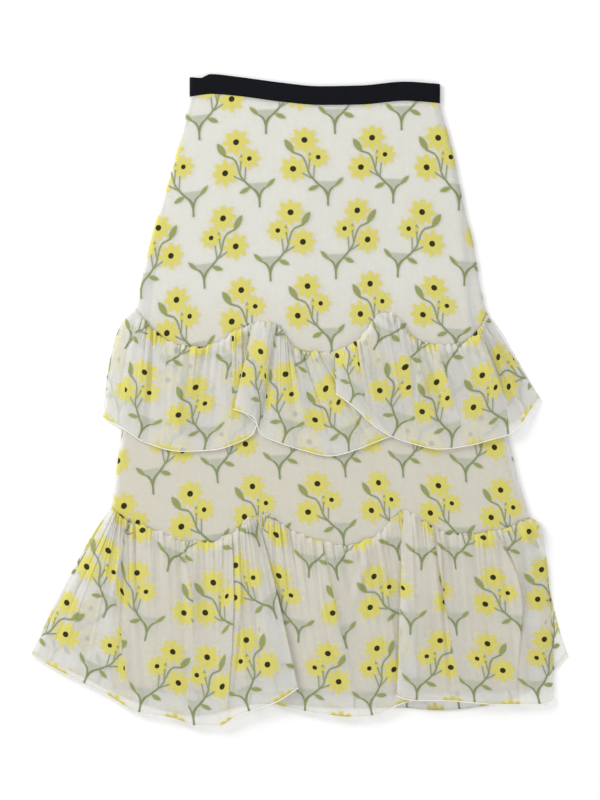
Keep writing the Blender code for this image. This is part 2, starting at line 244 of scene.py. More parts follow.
# %% [markdown]
# ## Cloth as a moved grid
#
# Woven cloth is a grid by nature, so each piece starts from bmesh.ops.create_grid, one vertex per
# crossing of a column and a row, and each vertex is then moved to its place. The grid also gets a
# UV map named Cloth, in millimetres of flat cloth divided by a thousand: the woven pattern reads
# it, so the sprigs bunch up at a gathered seam and turn with a fold, as the real cloth's do.
# Solidify makes a thin shell of it. A see-through shell shows its near and its far face one behind
# the other, so the sheer cloth's alpha below is that of one face, half of the cloth.


# %% A sheet from an array of places
CLOTH_THICKNESS = 0.35


def add_sheet(name, places, prints, faces_down=False, thickness=CLOTH_THICKNESS):
    """A cloth piece from places (columns, rows, 3) and where they are on the flat cloth, in mm."""
    columns, rows = places.shape[:2]
    mesh = bpy.data.meshes.new(name)
    cloth = bmesh.new()
    bmesh.ops.create_grid(cloth, x_segments=columns - 1, y_segments=rows - 1, size=0.5)
    on_cloth = []
    for vert in cloth.verts:
        column = round((vert.co.x + 0.5) * (columns - 1))
        row = round((0.5 - vert.co.y) * (rows - 1))
        across, down, height = places[column, row]
        vert.co = (CENTRE_X + across * MM, TOP_Y - down * MM, height * MM)
        on_cloth.append(prints[column, row] * MM)
    uv = cloth.loops.layers.uv.new("Cloth")
    for face in cloth.faces:
        for loop in face.loops:
            loop[uv].uv = on_cloth[loop.vert.index]
    if faces_down:
        bmesh.ops.reverse_faces(cloth, faces=cloth.faces)
    cloth.to_mesh(mesh)
    cloth.free()
    mesh.shade_smooth()
    piece = bpy.data.objects.new(name, mesh)
    bpy.context.scene.collection.objects.link(piece)
    shell = piece.modifiers.new("Cloth thickness", "SOLIDIFY")
    shell.thickness = thickness * MM
    shell.offset = 0
    print(name, columns, "x", rows, "places,", thickness, "mm thick")
    return piece


def between(edges, columns, rows):
    """Places (columns, rows, 2) stretched smoothly between four edges: top, bottom, left, right."""
    top, bottom, left, right = edges
    s = columns[:, None, None]
    v = rows[None, :, None]
    upper = top(columns)[:, None, :2]
    lower = bottom(columns)[:, None, :2]
    start = left(rows)[None, :, :2]
    end = right(rows)[None, :, :2]
    at_left = (1 - v) * top(0)[0, :2] + v * bottom(0)[0, :2]
    at_right = (1 - v) * top(1)[0, :2] + v * bottom(1)[0, :2]
    return (1 - v) * upper + v * lower + (1 - s) * (start - at_left) + s * (end - at_right)


def from_sides(flat):
    """How far each place is from the nearer side of its row, in millimetres."""
    return np.minimum(flat[..., 0] - flat[:1, :, 0], flat[-1:, :, 0] - flat[..., 0])


def rolled(distance, seam_height, front_height):
    """The height of front cloth that turns down to a side seam, by its distance from it."""
    share = np.clip(distance / SIDE_ROLL, 0, 1)
    return seam_height + (front_height - seam_height) * np.sqrt(1 - (1 - share) ** 2)


# %% [markdown]
# ## Uneven waves
#
# Nothing on a laid garment repeats evenly. Instead of random numbers, which would change from run
# to run, the unevenness comes from a few sines whose lengths share no common measure.


# %% Uneven numbers along the cloth
def uneven(position, seed):
    """A number from 0 to 1 that wanders as the position grows by about one."""
    total = np.zeros_like(position, dtype=float)
    for pace, weight in ((1.0, 0.5), (2.23, 0.3), (4.71, 0.2)):
        total = total + weight * np.sin(2 * math.pi * (pace * position + seed * 0.37 * pace))
    return 0.5 + 0.5 * total


def bell(share):
    """1 in the middle of a crease, falling smoothly to 0 at its sides."""
    return np.where(np.abs(share) < 1, 0.5 + 0.5 * np.cos(math.pi * np.clip(share, -1, 1)), 0)


def creases_at(across, down, creases):
    """How far the creases lift the cloth at each place. They lift every layer there alike."""
    height = np.zeros_like(across)
    for top_across, top_down, low_across, low_down, bend, rise, left, right in creases:
        along = (down - top_down) / (low_down - top_down)
        inside = (along > 0) & (along < 1)
        along = np.clip(along, 0, 1)
        middle = top_across + (low_across - top_across) * along
        away = across - middle - bend * 4 * along * (1 - along)
        side = np.where(away < 0, left, right)
        height += np.where(inside, rise * np.sin(math.pi * along) * bell(away / side), 0)
    return height


# %% [markdown]
# ## The woven sprigs
#
# The cloth is a voile with clipped motifs: sprigs of three daisies woven in with extra yarn, whose
# loose floats are cut away on the back, all but a pale patch between the two lower branches. The
# sprigs stand in rows, and every other row is mirrored. They are charted below, in millimetres
# from the foot of the stem. An image could hold them, but nodes stay sharp at any distance and
# follow the UV map.
#
# One helper adds a node, sets it and links it. A colour is given as its sRGB hex value and
# turned to the linear value that a shader wants.


# %% Helpers for materials
def linear(hex_colour):
    """The linear colour, with alpha 1, of an sRGB hex value such as "E8E070"."""
    shares = [int(hex_colour[place : place + 2], 16) / 255 for place in (0, 2, 4)]
    return (*[s / 12.92 if s <= 0.04045 else ((s + 0.055) / 1.055) ** 2.4 for s in shares], 1.0)


def add_node(tree, kind, settings=(), links=()):
    """Adds a node. links gives its inputs a value, another node's first output or a socket."""
    node = tree.nodes.new("ShaderNode" + kind)
    for name, value in dict(settings).items():
        setattr(node, name, value)
    for socket, source in dict(links).items():
        if isinstance(source, bpy.types.Node):
            source = source.outputs[0]
        if isinstance(source, bpy.types.NodeSocket):
            tree.links.new(source, node.inputs[socket])
        else:
            node.inputs[socket].default_value = source
    return node


def new_material(name):
    """A material with an empty tree but for its output and a Principled shader."""
    material = bpy.data.materials.new(name)
    material.use_nodes = True
    tree = material.node_tree
    return material, tree, tree.nodes["Principled BSDF"]


def cloth_place(tree):
    """Where a point lies on the flat cloth, in millimetres."""
    cloth_map = add_node(tree, "UVMap", {"uv_map": "Cloth"})
    return add_node(tree, "VectorMath", {"operation": "SCALE"}, {0: cloth_map, "Scale": 1 / MM})


def wave_scale(spacing):
    """The scale at which the bands of a Wave texture lie that far apart."""
    return math.pi / 10 / spacing


def finish(tree, shader, colour, relief, height, strength, roughness, gloss):
    """Gives a shader its colour, a relief with its height in mm, its roughness and its gloss."""
    tree.links.new(colour, shader.inputs["Base Color"])
    bump = add_node(
        tree, "Bump", links={"Height": relief, "Distance": height * MM, "Strength": strength}
    )
    tree.links.new(bump.outputs[0], shader.inputs["Normal"])
    shader.inputs["Roughness"].default_value = roughness
    shader.inputs["Specular IOR Level"].default_value = gloss
    print("Material drawn with", len(tree.nodes), "nodes")


FIRST, SECOND, MIXED = 6, 7, 2  # a colour Mix node's two colours and its result


# %% The sprig's chart, in millimetres from the foot of its stem
SPRIG_PITCH = 87.0
ROW_PITCH = 97.0
MIRRORED_SHIFT = -11.0  # of every other row, sideways
SPRIG_LEFT = -27.0  # where the chart starts, across
SPRIG_LOW = 8.5  # and up
EDGE = 0.5  # how soft an edge of yarn is
YARN_BLUR = 0.9  # the same, for a stem or a leaf

DAISIES = (  # across, up, radius, eye radius
    (28.0, 89.0, 17.3, 3.9),
    (43.4, 50.0, 17.3, 3.9),
    (11.4, 65.8, 14.1, 3.1),
)
MAIN_STEM = (  # up, across, half width
    (0, 0, 1.7),
    (11, 0.2, 1.7),
    (17, 1.7, 2.1),
    (22.5, 5.0, 2.2),
    (27, 10.0, 2.1),
    (31.5, 14.3, 2.0),
    (37, 18.7, 1.9),
    (41, 21.9, 1.7),
    (47, 24.4, 1.4),
    (54, 26.2, 1.3),
    (62, 28.6, 1.4),
    (67, 32.0, 1.6),
    (69, 34.5, 2.1),
)
SIDE_STEM = (  # up, across, half width
    (9, 0, 1.5),
    (13, -0.6, 1.5),
    (20, -2.8, 1.6),
    (24, -5.9, 2.0),
    (27, -10.5, 2.0),
)
SHORT_STEMS = (  # from across, from up, to across, to up, half width
    (20.0, 37.0, 31.5, 44.0, 1.1),
    (18.2, 36.5, 16.5, 54.0, 1.0),
    (23.8, 49.0, 22.4, 62.0, 1.0),
    (33.0, 68.2, 43.5, 72.5, 1.4),
)
LEAVES = (  # from across, from up, to across, to up, half width
    (42.0, 71.0, 53.0, 90.0, 4.4),
    (11.0, 27.5, 25.8, 21.0, 3.3),
    (-9.0, 25.5, -20.8, 38.0, 2.9),
    (22.4, 60.0, 21.6, 73.0, 2.2),
)
PATCH_TOP = 33.0
PETALS = 8
PETAL_LENGTH = 0.42  # half of it, as a share of the daisy's radius
PETAL_WIDTH = 0.215  # the same
HAZE_REACH = 1.25  # for a petal's own size
HALO = 3.6
FOOT_WIDTH = 1.5  # half of it
FOOT_HEIGHT = 12.0
print("A sprig repeats every", SPRIG_PITCH, "mm in rows", ROW_PITCH, "mm apart")


# %% [markdown]
# Where a point of cloth lies in its sprig: the row number says whether the sprig is mirrored, and
# Wrap brings every sprig onto one chart. A sprig is a little taller than the distance between the
# rows, so the foot of the stem is drawn with a grid of its own.


# %% From the cloth to the chart
def chart_place(tree, cloth, low):
    """The place (across, up) on the sprig's chart, whose rows start at low."""
    apart = add_node(tree, "SeparateXYZ", links={0: cloth})
    rows = add_node(
        tree,
        "Math",
        {"operation": "MULTIPLY_ADD"},
        {0: apart.outputs[1], 1: 1 / ROW_PITCH, 2: -low / ROW_PITCH},
    )
    row = add_node(tree, "Math", {"operation": "FLOOR"}, {0: rows})
    up = add_node(
        tree, "Math", {"operation": "MULTIPLY_ADD"}, {0: row, 1: -ROW_PITCH, 2: apart.outputs[1]}
    )
    mirrored = add_node(tree, "Math", {"operation": "FLOORED_MODULO"}, {0: row, 1: 2.0})
    side = add_node(tree, "Math", {"operation": "MULTIPLY_ADD"}, {0: mirrored, 1: -2.0, 2: 1.0})
    moved = add_node(
        tree,
        "Math",
        {"operation": "MULTIPLY_ADD"},
        {0: mirrored, 1: -MIRRORED_SHIFT, 2: apart.outputs[0]},
    )
    turned = add_node(tree, "Math", {"operation": "MULTIPLY"}, {0: moved, 1: side})
    across = add_node(
        tree,
        "Math",
        {"operation": "WRAP"},
        {0: turned, 1: SPRIG_LEFT + SPRIG_PITCH, 2: SPRIG_LEFT},
    )
    return add_node(tree, "CombineXYZ", links={0: across, 1: up})


# %% [markdown]
# A daisy: the angle round its eye is folded by Ping-Pong so that all eight petals become one, and
# that petal is an ellipse on the axis. The ellipse's own distance also tints the petal, warmer
# towards the eye, as the yarn is.


# %% One daisy
def inside(tree, distance, reach, soft=EDGE):
    """1 where a distance is less than its reach, falling softly to 0 past it."""
    return add_node(
        tree,
        "MapRange",
        {"interpolation_type": "SMOOTHSTEP"},
        {0: distance, 1: reach + soft, 2: reach - soft, 3: 0.0, 4: 1.0},
    )


def daisy(tree, place, centre_across, centre_up, radius, eye_radius):
    """Returns the masks of the petals, of the haze round them and of the eye."""
    away = add_node(
        tree,
        "VectorMath",
        {"operation": "SUBTRACT"},
        {0: place, 1: (centre_across, centre_up, 0)},
    )
    length = add_node(tree, "VectorMath", {"operation": "LENGTH"}, {0: away}).outputs["Value"]
    apart = add_node(tree, "SeparateXYZ", links={0: away})
    angle = add_node(
        tree, "Math", {"operation": "ARCTAN2"}, {0: apart.outputs[1], 1: apart.outputs[0]}
    )
    folded = add_node(tree, "Math", {"operation": "PINGPONG"}, {0: angle, 1: math.pi / PETALS})
    cosine = add_node(tree, "Math", {"operation": "COSINE"}, {0: folded})
    sine = add_node(tree, "Math", {"operation": "SINE"}, {0: folded})
    along = add_node(tree, "Math", {"operation": "MULTIPLY"}, {0: length, 1: cosine})
    beside = add_node(tree, "Math", {"operation": "MULTIPLY"}, {0: length, 1: sine})
    petal = add_node(tree, "CombineXYZ", links={0: along, 1: beside})
    half_long, half_wide = PETAL_LENGTH * radius, PETAL_WIDTH * radius
    shaped = add_node(
        tree,
        "VectorMath",
        {"operation": "MULTIPLY_ADD"},
        {
            0: petal,
            1: (1 / half_long, 1 / half_wide, 0),
            2: (1 - 1 / PETAL_LENGTH, 0, 0),
        },
    )
    reach = add_node(tree, "VectorMath", {"operation": "LENGTH"}, {0: shaped}).outputs["Value"]
    petals = inside(tree, reach, 1.0, 1.5 * EDGE / half_wide)
    haze = inside(tree, reach, HAZE_REACH, HALO / half_wide)
    eye = inside(tree, length, eye_radius)
    return petals, haze, eye


# %% [markdown]
# A long stem is a curve charted as across against up, so it is one Float Curve. A short stem is
# the distance to a straight segment. A leaf is the part that two circles share, which has the
# two points and the bowed sides of a real leaf.


# %% Stems and leaves
def charted(tree, up, points, column):
    """The value in a column of a charted stem, by how far up it is."""
    first, last = points[0][0], points[-1][0]
    values = [point[column] for point in points]
    low, high = min(values) - 1, max(values) + 1
    share = add_node(tree, "MapRange", links={0: up, 1: first, 2: last, 3: 0.0, 4: 1.0})
    line = add_node(tree, "FloatCurve", links={1: share})
    curve = line.mapping.curves[0]
    places = [
        ((point[0] - first) / (last - first), (point[column] - low) / (high - low))
        for point in points
    ]
    curve.points[0].location = places[0]
    curve.points[1].location = places[-1]
    for place in places[1:-1]:
        curve.points.new(*place)
    line.mapping.update()
    return add_node(
        tree, "Math", {"operation": "MULTIPLY_ADD"}, {0: line, 1: high - low, 2: low}
    )


def stem_mask(tree, apart, points):
    """Returns the mask of a charted stem up to its last point, and its line."""
    line = charted(tree, apart.outputs[1], points, 1)
    width = charted(tree, apart.outputs[1], points, 2)
    off = add_node(tree, "Math", {"operation": "SUBTRACT"}, {0: apart.outputs[0], 1: line})
    off = add_node(tree, "Math", {"operation": "ABSOLUTE"}, {0: off})
    off = add_node(tree, "Math", {"operation": "SUBTRACT"}, {0: off, 1: width})
    near = inside(tree, off, 0, YARN_BLUR)
    below = inside(tree, apart.outputs[1], points[-1][0])
    return add_node(tree, "Math", {"operation": "MULTIPLY"}, {0: near, 1: below}), line


def segment_mask(tree, place, start, end, half_width):
    """1 within half the width of a straight segment."""
    way = (end[0] - start[0], end[1] - start[1], 0)
    square = way[0] ** 2 + way[1] ** 2
    away = add_node(
        tree, "VectorMath", {"operation": "SUBTRACT"}, {0: place, 1: (start[0], start[1], 0)}
    )
    share = add_node(
        tree,
        "VectorMath",
        {"operation": "DOT_PRODUCT"},
        {0: away, 1: (way[0] / square, way[1] / square, 0)},
    )
    share = add_node(tree, "Clamp", links={0: share.outputs["Value"]})
    foot = add_node(tree, "VectorMath", {"operation": "MULTIPLY"}, {0: share, 1: way})
    off = add_node(tree, "VectorMath", {"operation": "DISTANCE"}, {0: away, 1: foot})
    return inside(tree, off.outputs["Value"], half_width, YARN_BLUR)


def leaf_mask(tree, place, start, end, half_width):
    """1 inside a leaf from start to end: what two circles through both points share."""
    half_length = math.dist(start, end) / 2
    radius = (half_length**2 + half_width**2) / (2 * half_width)
    offset = radius - half_width
    middle = ((start[0] + end[0]) / 2, (start[1] + end[1]) / 2)
    beside = ((start[1] - end[1]) / 2 / half_length, (end[0] - start[0]) / 2 / half_length)
    distances = []
    for side in (-offset, offset):
        centre = (middle[0] + side * beside[0], middle[1] + side * beside[1], 0)
        distance = add_node(tree, "VectorMath", {"operation": "DISTANCE"}, {0: place, 1: centre})
        distances.append(distance.outputs["Value"])
    further = most_of(tree, distances)
    return inside(tree, further, radius, YARN_BLUR)


def most_of(tree, values):
    """The largest of several values at each place."""
    total = values[0]
    for value in values[1:]:
        total = add_node(tree, "Math", {"operation": "MAXIMUM"}, {0: total, 1: value})
    return total


# %% [markdown]
# ## Sheer cloth with woven sprigs
#
# The real cloth is a fine plain-woven voile, about 0.2 mm from thread to thread, in white yarn.
# To the eye that is a soft, matt, slightly uneven white through which the next layer shows
# faintly. The extra yarn of the sprigs is denser, so it hides what is behind it and stands a
# little proud. The weave is drawn at 0.5 mm, coarser than life, so that it shows in a close view.

# %% Sheer sprigged voile
THREAD = 0.5
GROUND_ALPHA = 0.34
SPRIG_ALPHA = 0.82

voile, tree, shader = new_material("woven_voile_with_clipped_daisy_sprigs")
cloth = cloth_place(tree)
place = chart_place(tree, cloth, SPRIG_LOW)
apart = add_node(tree, "SeparateXYZ", links={0: place})
foot_place = chart_place(tree, cloth, 0.0)
foot_apart = add_node(tree, "SeparateXYZ", links={0: foot_place})

foot_off = add_node(tree, "Math", {"operation": "ABSOLUTE"}, {0: foot_apart.outputs[0]})
foot_near = inside(tree, foot_off, FOOT_WIDTH)
foot_low = inside(tree, foot_apart.outputs[1], FOOT_HEIGHT)
foot = add_node(tree, "Math", {"operation": "MULTIPLY"}, {0: foot_near, 1: foot_low})
main_stem, main_line = stem_mask(tree, apart, MAIN_STEM)
side_stem, side_line = stem_mask(tree, apart, SIDE_STEM)
short_stems = [segment_mask(tree, place, row[:2], row[2:4], row[4]) for row in SHORT_STEMS]
stems = most_of(tree, [foot, main_stem, side_stem, *short_stems])
leaves = [leaf_mask(tree, place, row[:2], row[2:4], row[4]) for row in LEAVES]
leaves = most_of(tree, leaves)

# The pale patch of uncut floats between the two lower branches
across = apart.outputs[0]
right_of = add_node(tree, "Math", {"operation": "GREATER_THAN"}, {0: across, 1: side_line})
left_of = add_node(tree, "Math", {"operation": "LESS_THAN"}, {0: across, 1: main_line})
patch = add_node(tree, "Math", {"operation": "MULTIPLY"}, {0: right_of, 1: left_of})
under = inside(tree, apart.outputs[1], PATCH_TOP)
patch = add_node(tree, "Math", {"operation": "MULTIPLY"}, {0: patch, 1: under})

flowers = [daisy(tree, place, *row) for row in DAISIES]
petals, haze, eyes = (most_of(tree, masks) for masks in zip(*flowers))
print("Sprig drawn with", len(tree.nodes), "nodes")

# %% [markdown]
# The colours are laid on in the order that the weaver's yarns cover each other: ground, floats,
# stems, leaves, petals, eyes. A slow noise along the threads gives the ground its slubs, and a
# finer one mottles the yarns of the petals and leaves. The haze is the colour that the trimmed
# ends of the petals' yarn, on the back, lend to the sheer cloth round them.

# %% Colours of the voile
slub = add_node(tree, "Mapping", links={0: cloth, "Scale": (0.16, 0.03, 1.0)})
flat_noise = {"noise_dimensions": "2D"}
slubs = add_node(tree, "TexNoise", flat_noise, {0: slub, "Scale": 1.0, "Detail": 2.0})
speckle = add_node(tree, "TexNoise", flat_noise, {0: cloth, "Scale": 0.45, "Detail": 2.0})
ground, yellow, green = (
    add_node(
        tree, "Mix", {"data_type": "RGBA"}, {0: noise, FIRST: linear(first), SECOND: linear(second)}
    ).outputs[MIXED]
    for noise, first, second in (
        (slubs, "EFEEE8", "F4F3EE"),
        (speckle, "DAD65E", "DED063"),
        (speckle, "8B964F", "98A058"),
    )
)
colour = ground
for mask, paint, cover in (  # the last is how well the yarn covers what is under it
    (patch, linear("B8BDA6"), 0.74),
    (haze, linear("E8DE86"), 0.66),
    (stems, linear("818C54"), 0.93),
    (leaves, green, 0.95),
    (petals, yellow, 0.90),
    (eyes, linear("2E2A00"), 1.0),
):
    share = add_node(tree, "Math", {"operation": "MULTIPLY"}, {0: mask, 1: cover})
    colour = add_node(
        tree, "Mix", {"data_type": "RGBA"}, {0: share, FIRST: colour, SECOND: paint}
    ).outputs[MIXED]
print("Colours of the voile laid on with", len(tree.nodes), "nodes so far")

# %% [markdown]
# The sprigs' alpha is higher than the ground's, because their yarn closes the weave, and that of
# the haze and of the uncut floats lies between the two. The relief adds the threads and the
# fine lengthwise crinkles that gathering presses into such a thin cloth. The sprigs stay out of
# it: a bump reads its height three times, so that would triple the cost of their many nodes for
# a rise that can't be seen. The cloth is matt, with a faint sheen from its loose fibre ends.

# %% See-through, relief and gloss of the voile
HAZE_DENSITY = 0.45
FLOAT_DENSITY = 0.60
THREAD_HEIGHT = 0.04
CRINKLE_HEIGHT = 0.3
hazy = add_node(tree, "Math", {"operation": "MULTIPLY"}, {0: haze, 1: HAZE_DENSITY})
floats = add_node(tree, "Math", {"operation": "MULTIPLY"}, {0: patch, 1: FLOAT_DENSITY})
motif = most_of(tree, [hazy, floats, stems, leaves, petals, eyes])
alpha = add_node(
    tree, "MapRange", links={0: motif, 1: 0.0, 2: 1.0, 3: GROUND_ALPHA, 4: SPRIG_ALPHA}
)
tree.links.new(alpha.outputs[0], shader.inputs["Alpha"])
weft, warp = (
    add_node(
        tree,
        "TexWave",
        {"bands_direction": direction},
        {0: cloth, "Scale": wave_scale(THREAD), "Distortion": 0.6},
    ).outputs[1]
    for direction in "XY"
)
threads = add_node(tree, "Math", {"operation": "ADD"}, {0: weft, 1: warp})
threads = add_node(tree, "Math", {"operation": "MULTIPLY"}, {0: threads, 1: THREAD_HEIGHT})
crinkle = add_node(tree, "Mapping", links={0: cloth, "Scale": (0.22, 0.022, 1.0)})
crinkles = add_node(tree, "TexNoise", flat_noise, {0: crinkle, "Scale": 1.0, "Detail": 3.0})
relief = add_node(
    tree, "Math", {"operation": "MULTIPLY_ADD"}, {0: crinkles, 1: CRINKLE_HEIGHT, 2: threads}
)
finish(tree, shader, colour, relief, 1.0, 0.8, roughness=0.75, gloss=0.25)
shader.inputs["Sheen Weight"].default_value = 0.15
shader.inputs["Sheen Roughness"].default_value = 0.4

# %% [markdown]
# ## Lining
#
# The lining is a plain cream habotai: smooth, closely woven and opaque enough to hide the back.
# To the eye it is an even cream with a soft gloss and faint slubs across. Below the first seam
# its colour turns darker and warmer on the way down, as painted shade for the dimmer light under
# the tiers and flounces above it. More layers of cloth would do that too, but they would slow
# every render.

# %% Plain lining, with painted shade lower down
# Where the painted shade comes in: from and to, up on the flat cloth
LINING_PAINTED_SHADE_SPAN = (-280.0, -400.0)  # from and to, up on the flat cloth
lining_cloth, tree, shader = new_material("plain_woven_habotai_lining")
cloth = cloth_place(tree)
slub = add_node(tree, "Mapping", links={0: cloth, "Scale": (0.02, 0.3, 1.0)})
slubs = add_node(tree, "TexNoise", flat_noise, {0: slub, "Scale": 1.0, "Detail": 2.0})
up = add_node(tree, "SeparateXYZ", links={0: cloth}).outputs[1]
# How far the painted shade has come in, from 0 above the first seam to 1 lower down
depth = add_node(
    tree, "MapRange", links={0: up, 1: LINING_PAINTED_SHADE_SPAN[0], 2: LINING_PAINTED_SHADE_SPAN[1], 3: 0.0, 4: 1.0}
)
# The lining's own tone above, and the same tone darker and warmer as painted shade below
high, low = (
    add_node(
        tree, "Mix", {"data_type": "RGBA"}, {0: slubs, FIRST: linear(first), SECOND: linear(second)}
    ).outputs[MIXED]
    for first, second in (("D5D4CA", "DCDBD1"), ("BBB087", "C4BA94"))
)
colour = add_node(
    tree, "Mix", {"data_type": "RGBA"}, {0: depth, FIRST: high, SECOND: low}
).outputs[MIXED]
finish(tree, shader, colour, slubs, 0.3, 0.5, roughness=0.55, gloss=0.3)

# %% [markdown]
# ## Ribbon
#
# The waistband is a navy grosgrain ribbon. Its ribs run across it about a millimetre apart and
# break the light up, so it looks matt and almost black. The ribs are a Wave texture on the flat
# ribbon, and a slow noise keeps its colour from being dead even.

# %% Grosgrain ribbon
RIB = 1.1  # from rib to rib
ribbon, tree, shader = new_material("navy_grosgrain_ribbon")
cloth = cloth_place(tree)
ribs = add_node(
    tree,
    "TexWave",
    {"bands_direction": "X"},
    {0: cloth, "Scale": wave_scale(RIB), "Distortion": 0.3},
)
mottle = add_node(tree, "TexNoise", flat_noise, {0: cloth, "Scale": 0.08, "Detail": 3.0})
colour = add_node(
    tree,
    "Mix",
    {"data_type": "RGBA"},
    {0: mottle, FIRST: linear("090A10"), SECOND: linear("0E1017")},
).outputs[MIXED]
finish(tree, shader, colour, ribs.outputs[1], 0.25, 0.7, roughness=0.8, gloss=0.12)

# %% [markdown]
# ## Hem thread
#
# The hems of the flounces are rolled and overstitched in white thread, whose turns lie side by
# side. Its colour is painted shade: darker in the grooves between the turns, lighter on their
# crests. A tube has no flat cloth to measure on, so its turns are drawn on Object coordinates.

# %% Hem thread
TWIST = 1.2  # from turn to turn
thread, tree, shader = new_material("overstitched_white_hem_thread")
space = add_node(tree, "TexCoord")
turns = add_node(
    tree,
    "TexWave",
    {"bands_direction": "DIAGONAL"},
    {0: space.outputs["Object"], "Scale": wave_scale(TWIST * MM), "Distortion": 0.5},
)
# Painted shade: the thread is darker in the grooves between its turns and lighter on their crests
colour = add_node(
    tree,
    "Mix",
    {"data_type": "RGBA"},
    {0: turns.outputs[1], FIRST: linear("EAE7DB"), SECOND: linear("F3F1E8")},
).outputs[MIXED]
finish(tree, shader, colour, turns.outputs[1], 0.2, 0.6, roughness=0.6, gloss=0.5)


def dress(piece, material, node=None):
    """Gives a piece its material, hangs it on the root body and hides the frame's part it replaces.
    """
    piece.data.materials.append(material)
    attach(piece, "root")
    if node:
        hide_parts(node)


# %% [markdown]
# ## Waistband
#
# A length of ribbon folded round the waist edge. The front half turns down at both sides to meet
# the back half. It has real thickness, 1 mm, because its edge shows against the white.

# %% Waistband
RIBBON_THICKNESS = 1.0
BAND_LIFT = 0.2  # of the back half, off the floor
BAND_COLUMNS, BAND_ROWS = 221, 13


def add_band(name, front):
    """Half of the waistband, lying flat or, in front, rolled down at its sides."""
    columns = np.linspace(0, 1, BAND_COLUMNS)
    rows = np.linspace(0, 1, BAND_ROWS)
    ends = [smooth_line([corner(waist_top, end), corner(waist_low, end)]) for end in (0, 1)]
    flat = between((waist_top, waist_low, *ends), columns, rows)
    places = np.dstack([flat, np.full(flat.shape[:2], RIBBON_THICKNESS / 2 + BAND_LIFT)])
    if front:
        places[..., 2] = rolled(from_sides(flat), 2 * LAYER, FRONT_HEIGHT)
    prints = np.dstack([flat[..., 0], np.broadcast_to(-BAND_DEPTH * rows, flat.shape[:2])])
    return add_sheet(name, places, prints, not front, RIBBON_THICKNESS)


for side in ("front", "back"):
    piece = add_band("ribbon_waistband_" + side, side == "front")
    dress(piece, ribbon, "waistband_" + side)

# %% [markdown]
# ## Plain tiers and lining
#
# Each tier is cut with a flare and eased into its seams, so its woven rows of sprigs hang in
# shallow uneven arcs and tip outwards at the sides. The feet of the sprigs were measured where
# they show. A thin-plate spline, the smoothest map that takes each measured place to its place on
# the flat cloth, then gives the UV map everywhere else.

# %% Where the sprigs' feet lie on the tiers
UPPER_FEET_AT = (  # across, down, column, row
    (-44.4, 79.2, 0, 0),
    (46.7, 79.2, 1, 0),
    (134.5, 74.4, 2, 0),
    (-140, 189, -1, -1),
    (-52.8, 176, 0, -1),
    (37.5, 174, 1, -1),
    (123.3, 170.8, 2, -1),
    (210, 180.3, 3, -1),
    (-209, 297, -2, -2),
    (-125.5, 283.4, -1, -2),
    (-38.3, 273.9, 0, -2),
    (48, 271, 1, -2),
    (129.5, 268.6, 2, -2),
    (217.3, 280, 3, -2),
    (-130, 389, -1, -3),
    (-42, 371, 0, -3),
    (42.5, 368.7, 1, -3),
    (207, 366, 3, -3),
)
MIDDLE_FEET_AT = (  # across, down, column, row
    (-193, 555, -2, 0),
    (-108, 540, -1, 0),
    (-26, 535, 0, 0),
    (61, 532.5, 1, 0),
    (137, 532.5, 2, 0),
    (220, 539, 3, 0),
    (-199, 659, -2, -1),
    (-108, 641.5, -1, -1),
    (-28.5, 631, 0, -1),
    (58.7, 623.7, 1, -1),
    (139, 625.7, 2, -1),
    (215, 629.6, 3, -1),
    (296, 636, 4, -1),
)


# %% A smooth map from the laid tier to its flat cloth
def bending(places, centres):
    """The thin-plate spline's value at each place for each centre."""
    squares = ((places[:, None] - centres[None]) ** 2).sum(-1)
    return squares * np.log(squares + 1e-6)


def print_on(feet):
    """Returns a function from laid places to places on the flat cloth."""
    rows = np.array(feet, float)
    centres = rows[:, :2]
    shift = MIRRORED_SHIFT * (rows[:, 3] % 2)
    targets = np.stack([rows[:, 2] * SPRIG_PITCH + shift, rows[:, 3] * ROW_PITCH], axis=1)
    flat = np.hstack([np.ones((len(rows), 1)), centres])
    system = np.block([[bending(centres, centres), flat], [flat.T, np.zeros((3, 3))]])
    weights = np.linalg.solve(system, np.vstack([targets, np.zeros((3, 2))]))

    def at(flat_places):
        places = flat_places.reshape(-1, 2)
        terms = np.hstack([bending(places, centres), np.ones((len(places), 1)), places])
        return (terms @ weights).reshape(flat_places.shape)

    return at


def plain_print(flat_places):
    """Cloth without sprigs lies as it is cut."""
    return flat_places * (1, -1)


upper_print = print_on(UPPER_FEET_AT)
middle_print = print_on(MIDDLE_FEET_AT)
print("Sprigs placed by", len(UPPER_FEET_AT), "and", len(MIDDLE_FEET_AT), "feet")

# %% A tier or lining panel
ROLL_COLUMNS = 9  # crowded towards a side seam, to draw the roll
ROLL_CROWDING = 1.5


def add_tier(name, edges, height, print_at, front, seam_height=0.0, wave=None, step=3.0):
    """A tier or lining panel, lying flat or, in front, rolled down at its sides."""
    top, bottom, left, right = edges
    columns = np.linspace(0, 1, round(max(top.length, bottom.length) / step) + 1)
    rows = np.linspace(0, 1, round(max(left.length, right.length) / step) + 1)
    if front:
        near = SIDE_ROLL / bottom.length * np.linspace(0, 1, ROLL_COLUMNS) ** ROLL_CROWDING
        flat_part = np.linspace(near[-1], 1 - near[-1], len(columns))
        columns = np.concatenate([near[:-1], flat_part, 1 - near[-2::-1]])
    flat = between(edges, columns, rows)
    heights = np.full(flat.shape[:2], height)
    if wave is not None:
        heights = heights + wave(columns[:, None], rows[None, :])
    if front:
        heights = rolled(from_sides(flat), seam_height, heights)
    return add_sheet(name, np.dstack([flat, heights]), print_at(flat), not front)


EDGE_SHARES = np.linspace(0, 1, 200)


